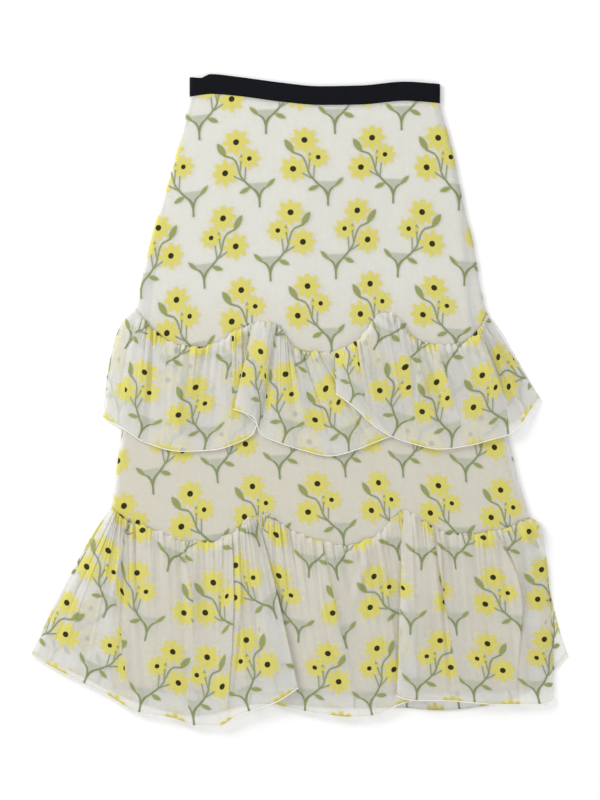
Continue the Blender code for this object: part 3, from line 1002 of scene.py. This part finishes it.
def area_of(edges):
    """The flat area inside four edges, in square metres."""
    top, bottom, left, right = (edge(EDGE_SHARES)[:, :2] for edge in edges)
    loop = np.vstack([top, right, bottom[::-1], left[::-1]])
    x, y = loop[:, 0], loop[:, 1]
    return abs(np.dot(x, np.roll(y, 1)) - np.dot(y, np.roll(x, 1))) / 2 * MM * MM


def size_of(edges):
    """The width and length of the smallest upright rectangle round four edges, in metres."""
    loop = np.vstack([edge(EDGE_SHARES)[:, :2] for edge in edges])
    return tuple(float(side) * MM for side in loop.max(0) - loop.min(0))


# %% The edges of the tiers and of the lining
upper_top = moved_down(waist_low, GAP)
upper_left = smooth_line((corner(upper_top, 0), *UPPER_LEFT, corner(upper_seam, 0)))
upper_right = smooth_line((corner(upper_top, 1), *UPPER_RIGHT, corner(upper_seam, 1)))
upper_edges = (upper_top, upper_seam, upper_left, upper_right)

TUCK = 8.0  # the middle tier stays this much inside the upper flounce's corners
middle_top = part_of(
    moved_down(upper_seam, GAP), UPPER_SEAM[0][0] + TUCK, UPPER_SEAM[-1][0] - TUCK
)
middle_left = smooth_line((corner(middle_top, 0), *MIDDLE_LEFT, corner(lower_seam, 0)))
middle_right = smooth_line((corner(middle_top, 1), *MIDDLE_RIGHT, corner(lower_seam, 1)))
middle_edges = (middle_top, lower_seam, middle_left, middle_right)

LINING_DROP = 3.0  # from the waistband to the lining's top edge
lining_top = part_of(moved_down(waist_low, LINING_DROP), LINING_LEFT[0][0], LINING_RIGHT[0][0])
lining_left = smooth_line((corner(lining_top, 0), *LINING_LEFT[1:]))
lining_right = smooth_line((corner(lining_top, 1), *LINING_RIGHT[1:]))
lining_edges = (lining_top, smooth_line(LINING_HEM), lining_left, lining_right)
print("Top tier, middle tier and lining are", *(
    round(size_of(edges)[0] / MM) for edges in (upper_edges, middle_edges, lining_edges)
), "mm wide")


# %% Faint folds of the tiers
def off_the_edges(columns, rows):
    """1 in the middle of a tier and 0 at its edges, which are held flat."""
    return np.sin(math.pi * rows) * np.sin(math.pi * columns) ** 0.5


def seam_pucker(columns, rows, count, seed):
    """The small pucker that a gathered seam pulls into the tier above it."""
    return 0.5 * uneven(columns * count, seed) * np.exp((rows - 1) * 25)


def soft_folds(columns, rows):
    """The top tier's faint lengthwise folds, and the pucker over its seam."""
    folds = 0.5 + 0.35 * np.sin(13 * columns + 2 * rows) + 0.15 * np.sin(31 * columns)
    return 1.6 * off_the_edges(columns, rows) * folds + seam_pucker(columns, rows, 70, 3)


def faint_folds(columns, rows):
    """The middle tier's faint folds, which run down from the seam above."""
    folds = 0.4 * uneven(columns * 9 + 0.6 * rows, 5) + 0.15 * uneven(columns * 24, 6)
    return (0.6 * off_the_edges(columns, rows) * folds
            + 0.6 * seam_pucker(columns, rows, 80, 4))


# %% The tiers and the lining laid down
def lay(piece, material, node, edges):
    """Dresses a flat piece, hanging it on the root body, and works out its cut's size and area,
    which are not kept.
    """
    dress(piece, material, node)
    size_of(edges)
    area_of(edges)


lay(add_tier("top_tier_front", upper_edges, FRONT_HEIGHT, upper_print, True, LAYER, soft_folds),
    voile, "upper_front", upper_edges)
lay(add_tier("top_tier_back", upper_edges, BACK_HEIGHT, upper_print, False),
    voile, "upper_back", upper_edges)
lay(add_tier("middle_tier_front", middle_edges, FRONT_HEIGHT, middle_print, True,
             MIDDLE_BACK_HEIGHT + WALL, faint_folds),
    voile, "middle_front", middle_edges)
lay(add_tier("middle_tier_back", middle_edges, MIDDLE_BACK_HEIGHT, middle_print, False),
    voile, "middle_back", middle_edges)
for side, height in (("front", LINING_FRONT_HEIGHT), ("back", LINING_BACK_HEIGHT)):
    piece = add_tier("lining_slip_" + side, lining_edges, height, plain_print, False, step=8.0)
    lay(piece, lining_cloth, "lining_" + side, lining_edges)

# %% [markdown]
# ## Flounces
#
# A flounce is a straight strip, longer than the seam that it is gathered into. Its table follows
# the strip's hem as it lies: each row is a place along the cloth, with where it leaves the seam,
# where its hem lies, how high the hem lies, and how it leans out on the way. Where the hem goes
# back on itself the cloth is folded. A cloth simulation would fold it somewhere else on every
# try, so the folds are laid one by one.

# %% Tables of the two front flounces
UPPER_FLOUNCE = (  # seam across, hem across, hem down, hem height, lean
    (-217, -260, 453, 1.9, 0.40),
    (-214, -256, 456, 4.5, 0.45),
    (-208, -234, 467, 8.0, 0.60),
    (-195, -204, 486, 9.0, 0.90),
    (-145, -156, 498, 9.5, 1.00),
    (-102, -113, 496, 9.0, 1.00),
    (-81, -81, 486, 8.3, 1.00),
    (-71, -62, 475, 8.0, 1.00),
    (-67, -56, 462, 9.8, 1.00),
    (-64, -71, 449, 11.9, 1.00),
    (-62, -87, 442, 14.2, 1.00),
    (-50, -72, 447, 16.4, 1.00),
    (-39, -59, 455, 15.6, 1.00),
    (-31, -52, 474, 12.0, 1.00),
    (-26, -25, 487, 10.0, 1.00),
    (-18, -1, 495, 9.5, 1.00),
    (1, 40, 504, 9.0, 1.00),
    (16, 74, 496, 8.5, 1.00),
    (30, 107, 483, 8.2, 1.00),
    (36, 121, 478, 10.0, 1.00),
    (40, 86, 450, 12.0, 1.00),
    (45, 48, 422, 14.2, 1.00),
    (60, 69, 437, 16.4, 1.00),
    (82, 102, 467, 16.5, 1.00),
    (96, 121, 478, 15.5, 1.00),
    (117, 146, 487, 12.5, 1.00),
    (146, 185, 495, 10.5, 1.00),
    (185, 225, 490, 10.0, 1.00),
    (214, 251, 483, 10.5, 1.00),
    (234, 275, 476, 10.0, 1.00),
    (239, 292, 463, 8.0, 1.00),
    (243, 304, 445, 5.0, 1.00),
    (247, 317, 429, 1.9, 1.00),
)
LOWER_FLOUNCE = (  # seam across, hem across, hem down, hem height, lean
    (-248, -354, 768, 1.9, 0.90),
    (-245, -349, 771, 4.0, 0.90),
    (-243, -323, 785, 6.5, 1.00),
    (-240, -292, 801, 7.5, 1.00),
    (-235, -253, 820, 8.0, 1.00),
    (-224, -215, 842, 8.5, 1.00),
    (-176, -167, 850, 9.0, 1.00),
    (-145, -137, 860, 9.0, 1.00),
    (-108, -106, 860, 10.0, 1.00),
    (-92, -87, 850, 11.5, 1.00),
    (-79, -62, 839, 13.5, 1.00),
    (-68, -31, 828, 15.6, 0.95),
    (-58, -2, 810, 13.4, 0.85),
    (-53, -33, 813, 11.2, 0.90),
    (-49, -62, 817, 9.0, 1.00),
    (-36, -25, 834, 7.0, 1.00),
    (-20, 6, 841, 7.2, 1.00),
    (1, 37, 846, 8.0, 1.00),
    (23, 67, 849, 8.5, 1.00),
    (55, 96, 847, 8.0, 1.00),
    (86, 117, 840, 7.5, 1.00),
    (103, 129, 833, 7.2, 1.00),
    (129, 159, 824, 9.0, 1.00),
    (133, 145, 822, 11.2, 1.00),
    (136, 128, 820, 13.4, 1.00),
    (142, 138, 824, 15.6, 1.00),
    (147, 154, 826, 16.0, 1.00),
    (164, 185, 826, 13.5, 1.00),
    (202, 225, 829, 11.0, 1.00),
    (239, 265, 832, 9.0, 1.00),
    (280, 316, 832, 7.0, 0.60),
    (296, 333, 828, 4.0, 0.30),
    (303, 336, 824, 1.9, 0.25),
)
print("The hems are charted with", len(UPPER_FLOUNCE), "and", len(LOWER_FLOUNCE), "places")

# %% Creases and back hems
UPPER_CREASES = (  # top across, top down, low across, low down, bend, rise, left side, right side
    (-205, 335, -214, 440, 3, 2.0, 14, 18),
    (-150, 372, -162, 480, -4, 2.2, 18, 12),
    (-112, 366, -96, 450, 0, 1.6, 12, 12),
    (-10, 372, 6, 470, 4, 1.8, 14, 14),
    (159, 380, 156, 440, 0, 3.0, 5, 20),
    (178, 370, 206, 430, 0, 2.5, 12, 10),
    (232, 336, 270, 432, 2, 4.5, 26, 6),
)
LOWER_CREASES = (  # top across, top down, low across, low down, bend, rise, left side, right side
    (-234, 605, -254, 715, 3, 3.0, 5, 22),
    (-152, 625, -141, 735, 0, 3.5, 5, 24),
    (-78, 640, -96, 845, 4, 3.0, 28, 6),
    (27, 618, 60, 790, -10, 3.2, 5, 22),
    (92, 624, 70, 705, 0, 2.5, 10, 10),
    (184, 612, 186, 720, 0, 3.5, 30, 6),
    (214, 612, 226, 670, 0, 1.8, 8, 12),
    (281, 630, 300, 720, 0, 2.0, 12, 8),
)
UPPER_BACK_HEM = (  # across, down
    (-260, 451),
    (-204, 478),
    (-130, 486),
    (-30, 476),
    (50, 490),
    (140, 478),
    (225, 480),
    (275, 464),
    (317, 428),
)
UPPER_BACK_LEFT = ((-236, 330), (-247, 362), (-256, 406))
UPPER_BACK_RIGHT = ((265, 338), (288, 378))
LOWER_BACK_HEM = (  # across, down
    (-354, 766),
    (-292, 794),
    (-215, 830),
    (-137, 848),
    (-50, 832),
    (60, 838),
    (130, 837),
    (185, 841),
    (250, 834),
    (310, 812),
    (354, 767),
)
LOWER_BACK_LEFT = ((-262, 590), (-301, 657), (-332, 717))
LOWER_BACK_RIGHT = ((321, 640), (341, 727))
print("Creases laid by hand:", len(UPPER_CREASES), "and", len(LOWER_CREASES))

# %% [markdown]
# Between two pleats the cloth lies almost as it was woven, only turned. So each flounce's print
# is placed lobe by lobe. A lobe starts at a place along the hem, and where the hem passes over
# that place more than once, the pass is counted. The place of one sprig's foot on the hem is
# known, and so is how far the lobe is turned clockwise and how much the wrinkles squeeze it. The
# pleat between two lobes hides the cloth that the turn takes in. It runs straight from the hem to
# the seam, or it shears to the side towards the seam and bows on the way, in millimetres of hem.
# Its edge stands up by the step, to the right of the line, or to the left where it is negative.

# %% Lobes of the flounces
UPPER_LOBES = (  # from, pass, known, pass, its sprig, turned by, step, squeeze, shear, bow
    (-260, 1, -250, 1, -0.45, 32, 0.0, 1.06, 0, 0),
    (-236, 1, -213, 1, 0, 23, 2.4, 1.06, 0, 0),
    (-181, 1, -126, 1, 1, 11, 2.8, 1.06, 0, 0),
    (-96, 1, -59, 1, 1.76, -10, 1.8, 1.06, 0, 0),
    (-70, 2, -71, 2, 2.2, -5, 0.0, 1.06, 0, 0),
    (-86, 3, -57, 1, 3, 14, 0.0, 1.06, 0, 0),
    (-51, 1, -23, 1, 4, 20, 0.0, 1.02, 0, 0),
    (14, 1, 65, 1, 5, -3, 3.0, 1.06, 0, 0),
    (113, 2, 84, 2, 6.3, 0, 0.0, 1.06, 0, 0),
    (50, 3, 66, 3, 7, 25, 0.0, 1.06, 0, 0),
    (92, 3, 122, 1, 8, 26, 2.8, 1.06, 0, 0),
    (155, 1, 200, 1, 9, 4.5, 3.4, 1.06, 26, 0),
    (222, 1, 275, 1, 10, -5.5, 3.0, 1.06, 0, 0),
    (280, 1, 281, 1, 10.09, -40, 1.8, 1.06, 0, 12),
)
LOWER_LOBES = (  # from, pass, known, pass, its sprig, turned by, step, squeeze, shear, bow
    (-354, 1, -350, 1, -0.79, 24, 0.0, 1.06, 0, 0),
    (-316, 1, -285, 1, 0, 22.5, 0.0, 1.07, 0, 0),
    (-223, 1, -212, 1, 1, 11, 3.8, 1.03, 0, -34),
    (-148, 1, -139, 1, 2, -7, 3.8, 0.99, 0, 10),
    (-95, 1, -66, 1, 3, -20, -3.4, 0.99, 14, 6),
    (-10, 2, -30, 2, 4, 0, 0.0, 1.06, 0, 0),
    (-61, 3, 7, 1, 5, 1, 0.0, 1.07, 0, 0),
    (76, 1, 96, 1, 6, -14, 3.6, 1.06, 0, 0),
    (145, 2, 143, 2, 7.2, 0, 0.0, 1.06, 0, 0),
    (129, 3, 154, 3, 8, 1.5, 0.0, 1.13, 0, 0),
    (216, 1, 231, 1, 9, -8, 3.6, 1.10, -18, 0),
    (289, 1, 317, 1, 10, -14, -3.2, 1.08, 0, 16),
)
print("Lobes:", len(UPPER_LOBES), "and", len(LOWER_LOBES))

# %% [markdown]
# A sharp fold would be a knife edge in the cloth, so each turn of the hem gets a row just before
# and just after it, which makes it a round bend.

# %% Rounded bends
BEND_RADIUS = 1.5


def bend_row(turn, neighbour, lift):
    """A row beside a turn, a bend's radius towards its neighbour and that much higher or lower."""
    way = neighbour - turn
    row = turn + way * BEND_RADIUS / math.hypot(way[1], way[2])
    row[3] = turn[3] + lift
    return row


def rounded_turns(table):
    """The table with its turns rounded, and the rows that are turns."""
    given = [np.array(row, float) for row in table]
    rows, turns = [given[0]], []
    for before, row, after in zip(given, given[1:], given[2:]):
        if (row[1] - before[1]) * (after[1] - row[1]) >= 0:
            rows.append(row)
            continue
        rise = math.copysign(BEND_RADIUS, after[3] - before[3])
        turns.append(row)
        rows += [bend_row(row, before, -rise), row, bend_row(row, after, rise)]
    return [*rows, given[-1]], turns


def share_at(hem_across, across, visit):
    """The share along the hem where it passes over a place for the given time."""
    passes = np.nonzero(np.diff(np.sign(hem_across - across - 1e-6)))[0]
    return passes[visit - 1] / (len(hem_across) - 1) if len(passes) else 0.0


# %% [markdown]
# The gathers are small uneven pleats that start at the seam and die out down the cloth. Three
# trains of them are added: short fine ones, longer lazier ones, and the few soft waves that run
# right down to the hem.

# %% Trains of gathers
TRAINS = (  # gathers for each metre of hem, height for their width, shortest reach, further reach
    (90, 0.26, 0.05, 0.16),
    (36, 0.17, 0.12, 0.36),
    (13, 0.06, 0.7, 2.0),
)
SEAM_REACH = 0.05  # how far from the seam a gather has its full height, as a share of the depth


def gather_phase(shares, length, seed, count):
    """How many gathers of a train lie before a share of the cloth. They are unevenly wide."""
    number = shares * length * MM * count
    return number + 0.9 * uneven(number / 3.1, seed) + 0.7 * uneven(number / 7.7, seed + 1)


def gather_train(shares, drops, length, seed, count, steepness, shortest, further):
    """The height of one train of gathers, by share along the cloth and by drop from the seam."""
    number = shares * length * MM * count
    wave = np.abs(np.sin(math.pi * gather_phase(shares, length, seed, count))) ** 0.8
    reach = shortest + further * uneven(number / 1.7, seed + 2) ** 2
    fullness = 0.4 + 0.6 * uneven(number / 5.3, seed + 3)
    start = 0.35 + 0.65 * np.clip(drops / SEAM_REACH, 0, 1)
    width = 1000 / count
    return steepness * width * wave * fullness * np.exp(-drops / reach) * start


# %% [markdown]
# Inside a fold the gathers are left out, so that the layers never touch. Along the seam itself
# the cloth puffs up past the stitches, in uneven scallops. A pleat between two lobes stands up
# as a step, which dies out on one side of it.

# %% Calm folds, puffed edge and pleats
FOLD_CALM = 30  # how far from a fold the gathers have their full height
PUFF_WIDTH = 17.0
PUFF_SIDE = 12  # how far from a side seam the puffs have their full height
STEP_SPREAD = 13.0


def calm_at(hem_line, fine, turns, shares):
    """0 in the folds of a hem, growing to 1 beside them."""
    hem = hem_line(fine)[:, :3]
    outside = np.full(shares.shape, np.inf)
    for pair in zip(turns[::2], turns[1::2]):
        first, last = (fine[np.argmin(np.abs(hem - turn[1:4]).sum(1))] for turn in pair)
        outside = np.minimum(outside, np.maximum(np.maximum(first - shares, shares - last), 0))
    return np.clip(outside * hem_line.length / FOLD_CALM, 0, 1)[:, None]


def puffs_at(start, side, seed):
    """How full the puffed edge is at each place along the seam, 0 to 1."""
    number = start / PUFF_WIDTH
    puff = np.abs(np.sin(math.pi * (number + 0.9 * uneven(number / 2.7, seed + 6)))) ** 0.7
    return puff * (0.35 + 0.65 * uneven(number / 2.1, seed + 7)) * np.clip(side / PUFF_SIDE, 0, 1)


def pleated(full, lobes, pleats, strip, drops):
    """The fullness with the pleats' steps added, and the number of the lobe at each place."""
    bowing = 2 * (1 - drops) * np.sin(math.pi * drops)
    lobe = np.zeros(full.shape, int)
    for number, (pleat, (*_, step, _, shear, bow)) in enumerate(zip(pleats, lobes)):
        past = strip - (pleat + shear * (1 - drops) + bow * bowing)
        lobe = np.where(past >= 0, number, lobe)
        away = past * math.copysign(1, step)
        edge = np.where(away >= 0, np.exp(-np.clip(away, 0, None) / STEP_SPREAD), 0)
        full = full + abs(step) * edge * (1 - drops) ** 0.6
    return full, lobe


def lobe_print(lobes, lobe, along_hem, x, y):
    """Where each place lies on the flat cloth: its lobe turned and squeezed round its hem."""
    sprigs, angles, squeeze = (
        np.array([row[column] for row in lobes])[lobe] for column in (4, 5, 7)
    )
    turned = np.radians(angles)
    right, below = squeeze * (x - x[:, -1:]), squeeze * (y - y[:, -1:])
    u = sprigs * SPRIG_PITCH + along_hem + right * np.cos(turned) + below * np.sin(turned)
    return u, right * np.sin(turned) - below * np.cos(turned)


# %% [markdown]
# The strip is followed from one side to the other in equal steps of cloth. Each step has a column
# of places from the seam to the hem, which is where its cloth hangs. The rows lie closer near the
# seam, where the gathers are.

# %% A front flounce
HEM_SAMPLES = 8001
SEAM_SAMPLES = 800
COLUMNS = 860
ROWS = 50
ROW_CROWDING = 1.3
CORNER_DROP = 1.5
CORNER_CALM = 6  # how far from a side seam the cloth has its full height
FOLD_OPENING = 7
WANDER = 7.0
WANDER_LENGTH = 130
PUFF_RISE = 5.0
PUFF_HEIGHT = 2.2
PUFF_DEPTH = 0.035
PUCKER = 1.3
PUCKER_REACH = 0.09


def add_flounce(name, table, seam, creases, lobes, row_parity, side_height, seed):
    """A gathered front flounce. Returns the piece, its hem's places and its strip's length."""
    rows, turns = rounded_turns(table)
    hem_line = smooth_line([(row[1], row[2], row[3], row[0], row[4]) for row in rows])
    fine = np.linspace(0, 1, HEM_SAMPLES)
    hem = hem_line(fine)
    steps = np.linalg.norm(np.diff(hem[:, :3], axis=0), axis=1)
    travelled = np.concatenate([[0], np.cumsum(steps)])
    strip = np.linspace(0, travelled[-1], COLUMNS)
    shares = np.interp(strip, travelled, fine)
    across, down, height, start, lean = hem_line(shares).T[:, :, None]
    s, d = shares[:, None], (np.linspace(0, 1, ROWS) ** ROW_CROWDING)[None, :]
    strip = strip[:, None]

    seam_places = seam(np.linspace(0, 1, SEAM_SAMPLES))
    start_down = np.interp(start, seam_places[:, 0], seam_places[:, 1])
    side = np.minimum(start - table[0][0], table[-1][0] - start)
    start_down = start_down + CORNER_DROP * np.clip(1 - side / (2 * SIDE_ROLL), 0, 1)
    calm = calm_at(hem_line, fine, turns, shares)
    wander = WANDER * (uneven(strip / WANDER_LENGTH, seed + 5) - 0.5) * np.sin(math.pi * d) * calm
    x = start + (across - start) * d**lean + wander
    y = start_down + (down - start_down) * d

    full = sum(gather_train(s, d, hem_line.length, seed + n, *row) for n, row in enumerate(TRAINS))
    pleats, known = (
        [np.interp(share_at(hem[:, 0], *row[at : at + 2]), fine, travelled) for row in lobes]
        for at in (0, 2)
    )
    full, lobe = pleated(full, lobes, pleats, strip, d)
    puff = puffs_at(start, side, seed)
    y = y - PUFF_RISE * puff * np.exp(-((d / PUFF_DEPTH) ** 2))
    full = full + PUFF_HEIGHT * puff * d / PUFF_DEPTH * np.exp(1 - d / PUFF_DEPTH)
    full = full * calm * np.clip(side / CORNER_CALM, 0, 1)
    seam_height = rolled(side, side_height, FLOUNCE_HEIGHT)
    z = seam_height + (height - seam_height) * (1 - (1 - d) ** FOLD_OPENING)
    places = np.dstack([x, y, z + full + creases_at(x, y, creases)])

    u, v = lobe_print(lobes, lobe, strip - np.array(known)[lobe], x, y)
    phase = gather_phase(s, hem_line.length, seed, TRAINS[0][0])
    u = u + PUCKER * np.sin(2 * math.pi * phase) * np.exp(-d / PUCKER_REACH)
    prints = np.dstack([u + row_parity * MIRRORED_SHIFT, v + row_parity * ROW_PITCH])
    return add_sheet(name, places, prints), places[:, -1], travelled[-1]


# %% A rolled hem along an edge
HEM_RADIUS = 0.7


def add_hem(name, line):
    """A tube along the places of an edge, in millimetres."""
    curve = bpy.data.curves.new(name, "CURVE")
    curve.dimensions = "3D"
    curve.bevel_depth = MM
    curve.bevel_resolution = 2
    curve.use_fill_caps = True
    spline = curve.splines.new("POLY")
    spline.points.add(len(line) - 1)
    for point, (across, down, height) in zip(spline.points, line):
        point.co = (CENTRE_X + across * MM, TOP_Y - down * MM, height * MM, 1)
        point.radius = HEM_RADIUS
    piece = bpy.data.objects.new(name, curve)
    bpy.context.scene.collection.objects.link(piece)
    return piece


# %% The two front flounces
for name, node, table, seam, creases, lobes, parity, side_height, depth, seed in (
    ("flounce_top_front", "flounce_upper_front", UPPER_FLOUNCE, moved_down(upper_seam, 2 * GAP),
     UPPER_CREASES, UPPER_LOBES, 1, 2 * LAYER, 0.130, 11),
    ("flounce_low_front", "flounce_lower_front", LOWER_FLOUNCE, moved_down(lower_seam, 2 * GAP),
     LOWER_CREASES, LOWER_LOBES, 0, 3 * LAYER, 0.240, 23),
):
    piece, hem, strip = add_flounce(name, table, seam, creases, lobes, parity, side_height, seed)
    dress(piece, voile, node)
    rolled_hem = add_hem(name + "_hem", hem)
    dress(rolled_hem, thread)
    print(name, "is cut from a strip", round(float(strip)), "mm long and", depth, "m deep")

# %% [markdown]
# ## Back flounces
#
# They lie flat under everything, on the floor. The same strips are gathered into the same seams,
# so their sprigs bunch up in the same way, and small pleats press up into the cloth at the seam.

# %% The two back flounces
BACK_FULLNESS = 1.25  # how much cloth there is for its hem, along the print
BACK_TRAIN = (105, 0.08, 0.05, 0.2)
BACK_DROP = 0.3
BACK_PLEATS = 0.8
BACK_COLUMNS, BACK_ROWS = 500, 30


def add_back_flounce(name, seam, hem, left, right, row_parity, seed):
    """A flat back flounce. Returns the piece, its hem's places and its four edges."""
    top = moved_down(seam, GAP)
    bottom = smooth_line(hem)
    edges = (
        top,
        bottom,
        smooth_line((corner(top, 0), *left, hem[0])),
        smooth_line((corner(top, 1), *right, hem[-1])),
    )
    columns = np.linspace(0, 1, BACK_COLUMNS)
    rows = np.linspace(0, 1, BACK_ROWS)
    flat = between(edges, columns, rows)
    s, d = columns[:, None], rows[None, :]
    wave = gather_train(s, d, bottom.length, seed, *BACK_TRAIN)
    places = np.dstack([flat, BACK_HEIGHT - BACK_DROP + BACK_PLEATS * wave])
    u = (columns - 0.5) * bottom.length * BACK_FULLNESS + row_parity * MIRRORED_SHIFT
    depth = np.hypot(*(bottom(0.5)[0, :2] - top(0.5)[0, :2]))
    v = (1 - d) * depth + row_parity * ROW_PITCH + 0 * s
    prints = np.dstack([np.broadcast_to(u[:, None], v.shape), v])
    return add_sheet(name, places, prints, faces_down=True), places[:, -1], edges


for name, node, seam, hem, left, right, parity, seed in (
    ("flounce_top_back", "flounce_upper_back", upper_seam, UPPER_BACK_HEM, UPPER_BACK_LEFT,
     UPPER_BACK_RIGHT, 1, 31),
    ("flounce_low_back", "flounce_lower_back", lower_seam, LOWER_BACK_HEM, LOWER_BACK_LEFT,
     LOWER_BACK_RIGHT, 0, 41),
):
    piece, hem_places, edges = add_back_flounce(name, seam, hem, left, right, parity, seed)
    dress(piece, voile, node)
    hem_places[:, 2] = HEM_RADIUS
    rolled_hem = add_hem(name + "_hem", hem_places)
    dress(rolled_hem, thread)
    size_of(edges)
    area_of(edges)

# %% [markdown]
# ## Floor, light and camera
#
# The photograph is a catalogue shot from straight above on white. A big soft light from the upper
# left gives the folds their shape, and a bright world fills the rest. The camera stands far off
# with a long lens, so that the flat skirt has no perspective. The floor is matt backdrop paper,
# which takes a soft shadow and shows no gloss.

# %% Floor and light
FLOOR_SIZE = 6.0
FLOOR_HEIGHT = -0.0005
WORLD_STRENGTH = 0.70
mesh = bpy.data.meshes.new("floor")
ground = bmesh.new()
bmesh.ops.create_grid(ground, x_segments=1, y_segments=1, size=FLOOR_SIZE / 2)
ground.to_mesh(mesh)
ground.free()
floor = bpy.data.objects.new("floor", mesh)
floor.location.z = FLOOR_HEIGHT
bpy.context.scene.collection.objects.link(floor)
paper, tree, shader = new_material("matt_white_backdrop_paper")
shader.inputs["Base Color"].default_value = linear("FDFDFD")
shader.inputs["Roughness"].default_value = 0.9
shader.inputs["Specular IOR Level"].default_value = 0.1
mesh.materials.append(paper)

world = bpy.data.worlds.new("soft studio")
bpy.context.scene.world = world
world.use_nodes = True
sky = world.node_tree.nodes["Background"]
sky.inputs["Color"].default_value = (1, 1, 1, 1)
sky.inputs["Strength"].default_value = WORLD_STRENGTH


def add_light(name, place, size, power):
    """A square soft box that faces the middle of the skirt."""
    lamp = bpy.data.lights.new(name, "AREA")
    lamp.size = size
    lamp.energy = power
    light = bpy.data.objects.new(name, lamp)
    light.location = place
    towards = -light.location
    light.rotation_euler = towards.to_track_quat("-Z", "Y").to_euler()
    bpy.context.scene.collection.objects.link(light)
    print(name, size, "m wide,", power, "W")


add_light("key soft box", (-2.0, 1.3, 1.5), 1.2, 52)
add_light("fill soft box", (1.6, -1.2, 2.2), 2.0, 12)

# %% Camera
PIXEL = 1.32  # of the photograph, in millimetres on the skirt
FRAME_HEIGHT = 800 * PIXEL * MM
CAMERA_DISTANCE = 4.0
SKIRT_HEIGHT = 0.006
FRAME_CENTRE = (0.0005, -0.0003)
SENSOR = 36.0
lens = bpy.data.cameras.new("camera")
lens.sensor_fit = "VERTICAL"
lens.sensor_height = SENSOR
lens.lens = SENSOR * CAMERA_DISTANCE / FRAME_HEIGHT
camera = bpy.data.objects.new("camera", lens)
camera.location = (*FRAME_CENTRE, CAMERA_DISTANCE + SKIRT_HEIGHT)
bpy.context.scene.collection.objects.link(camera)
bpy.context.scene.camera = camera
bpy.context.scene.view_settings.view_transform = "Standard"
print("Lens", round(lens.lens), "mm at", CAMERA_DISTANCE, "m")
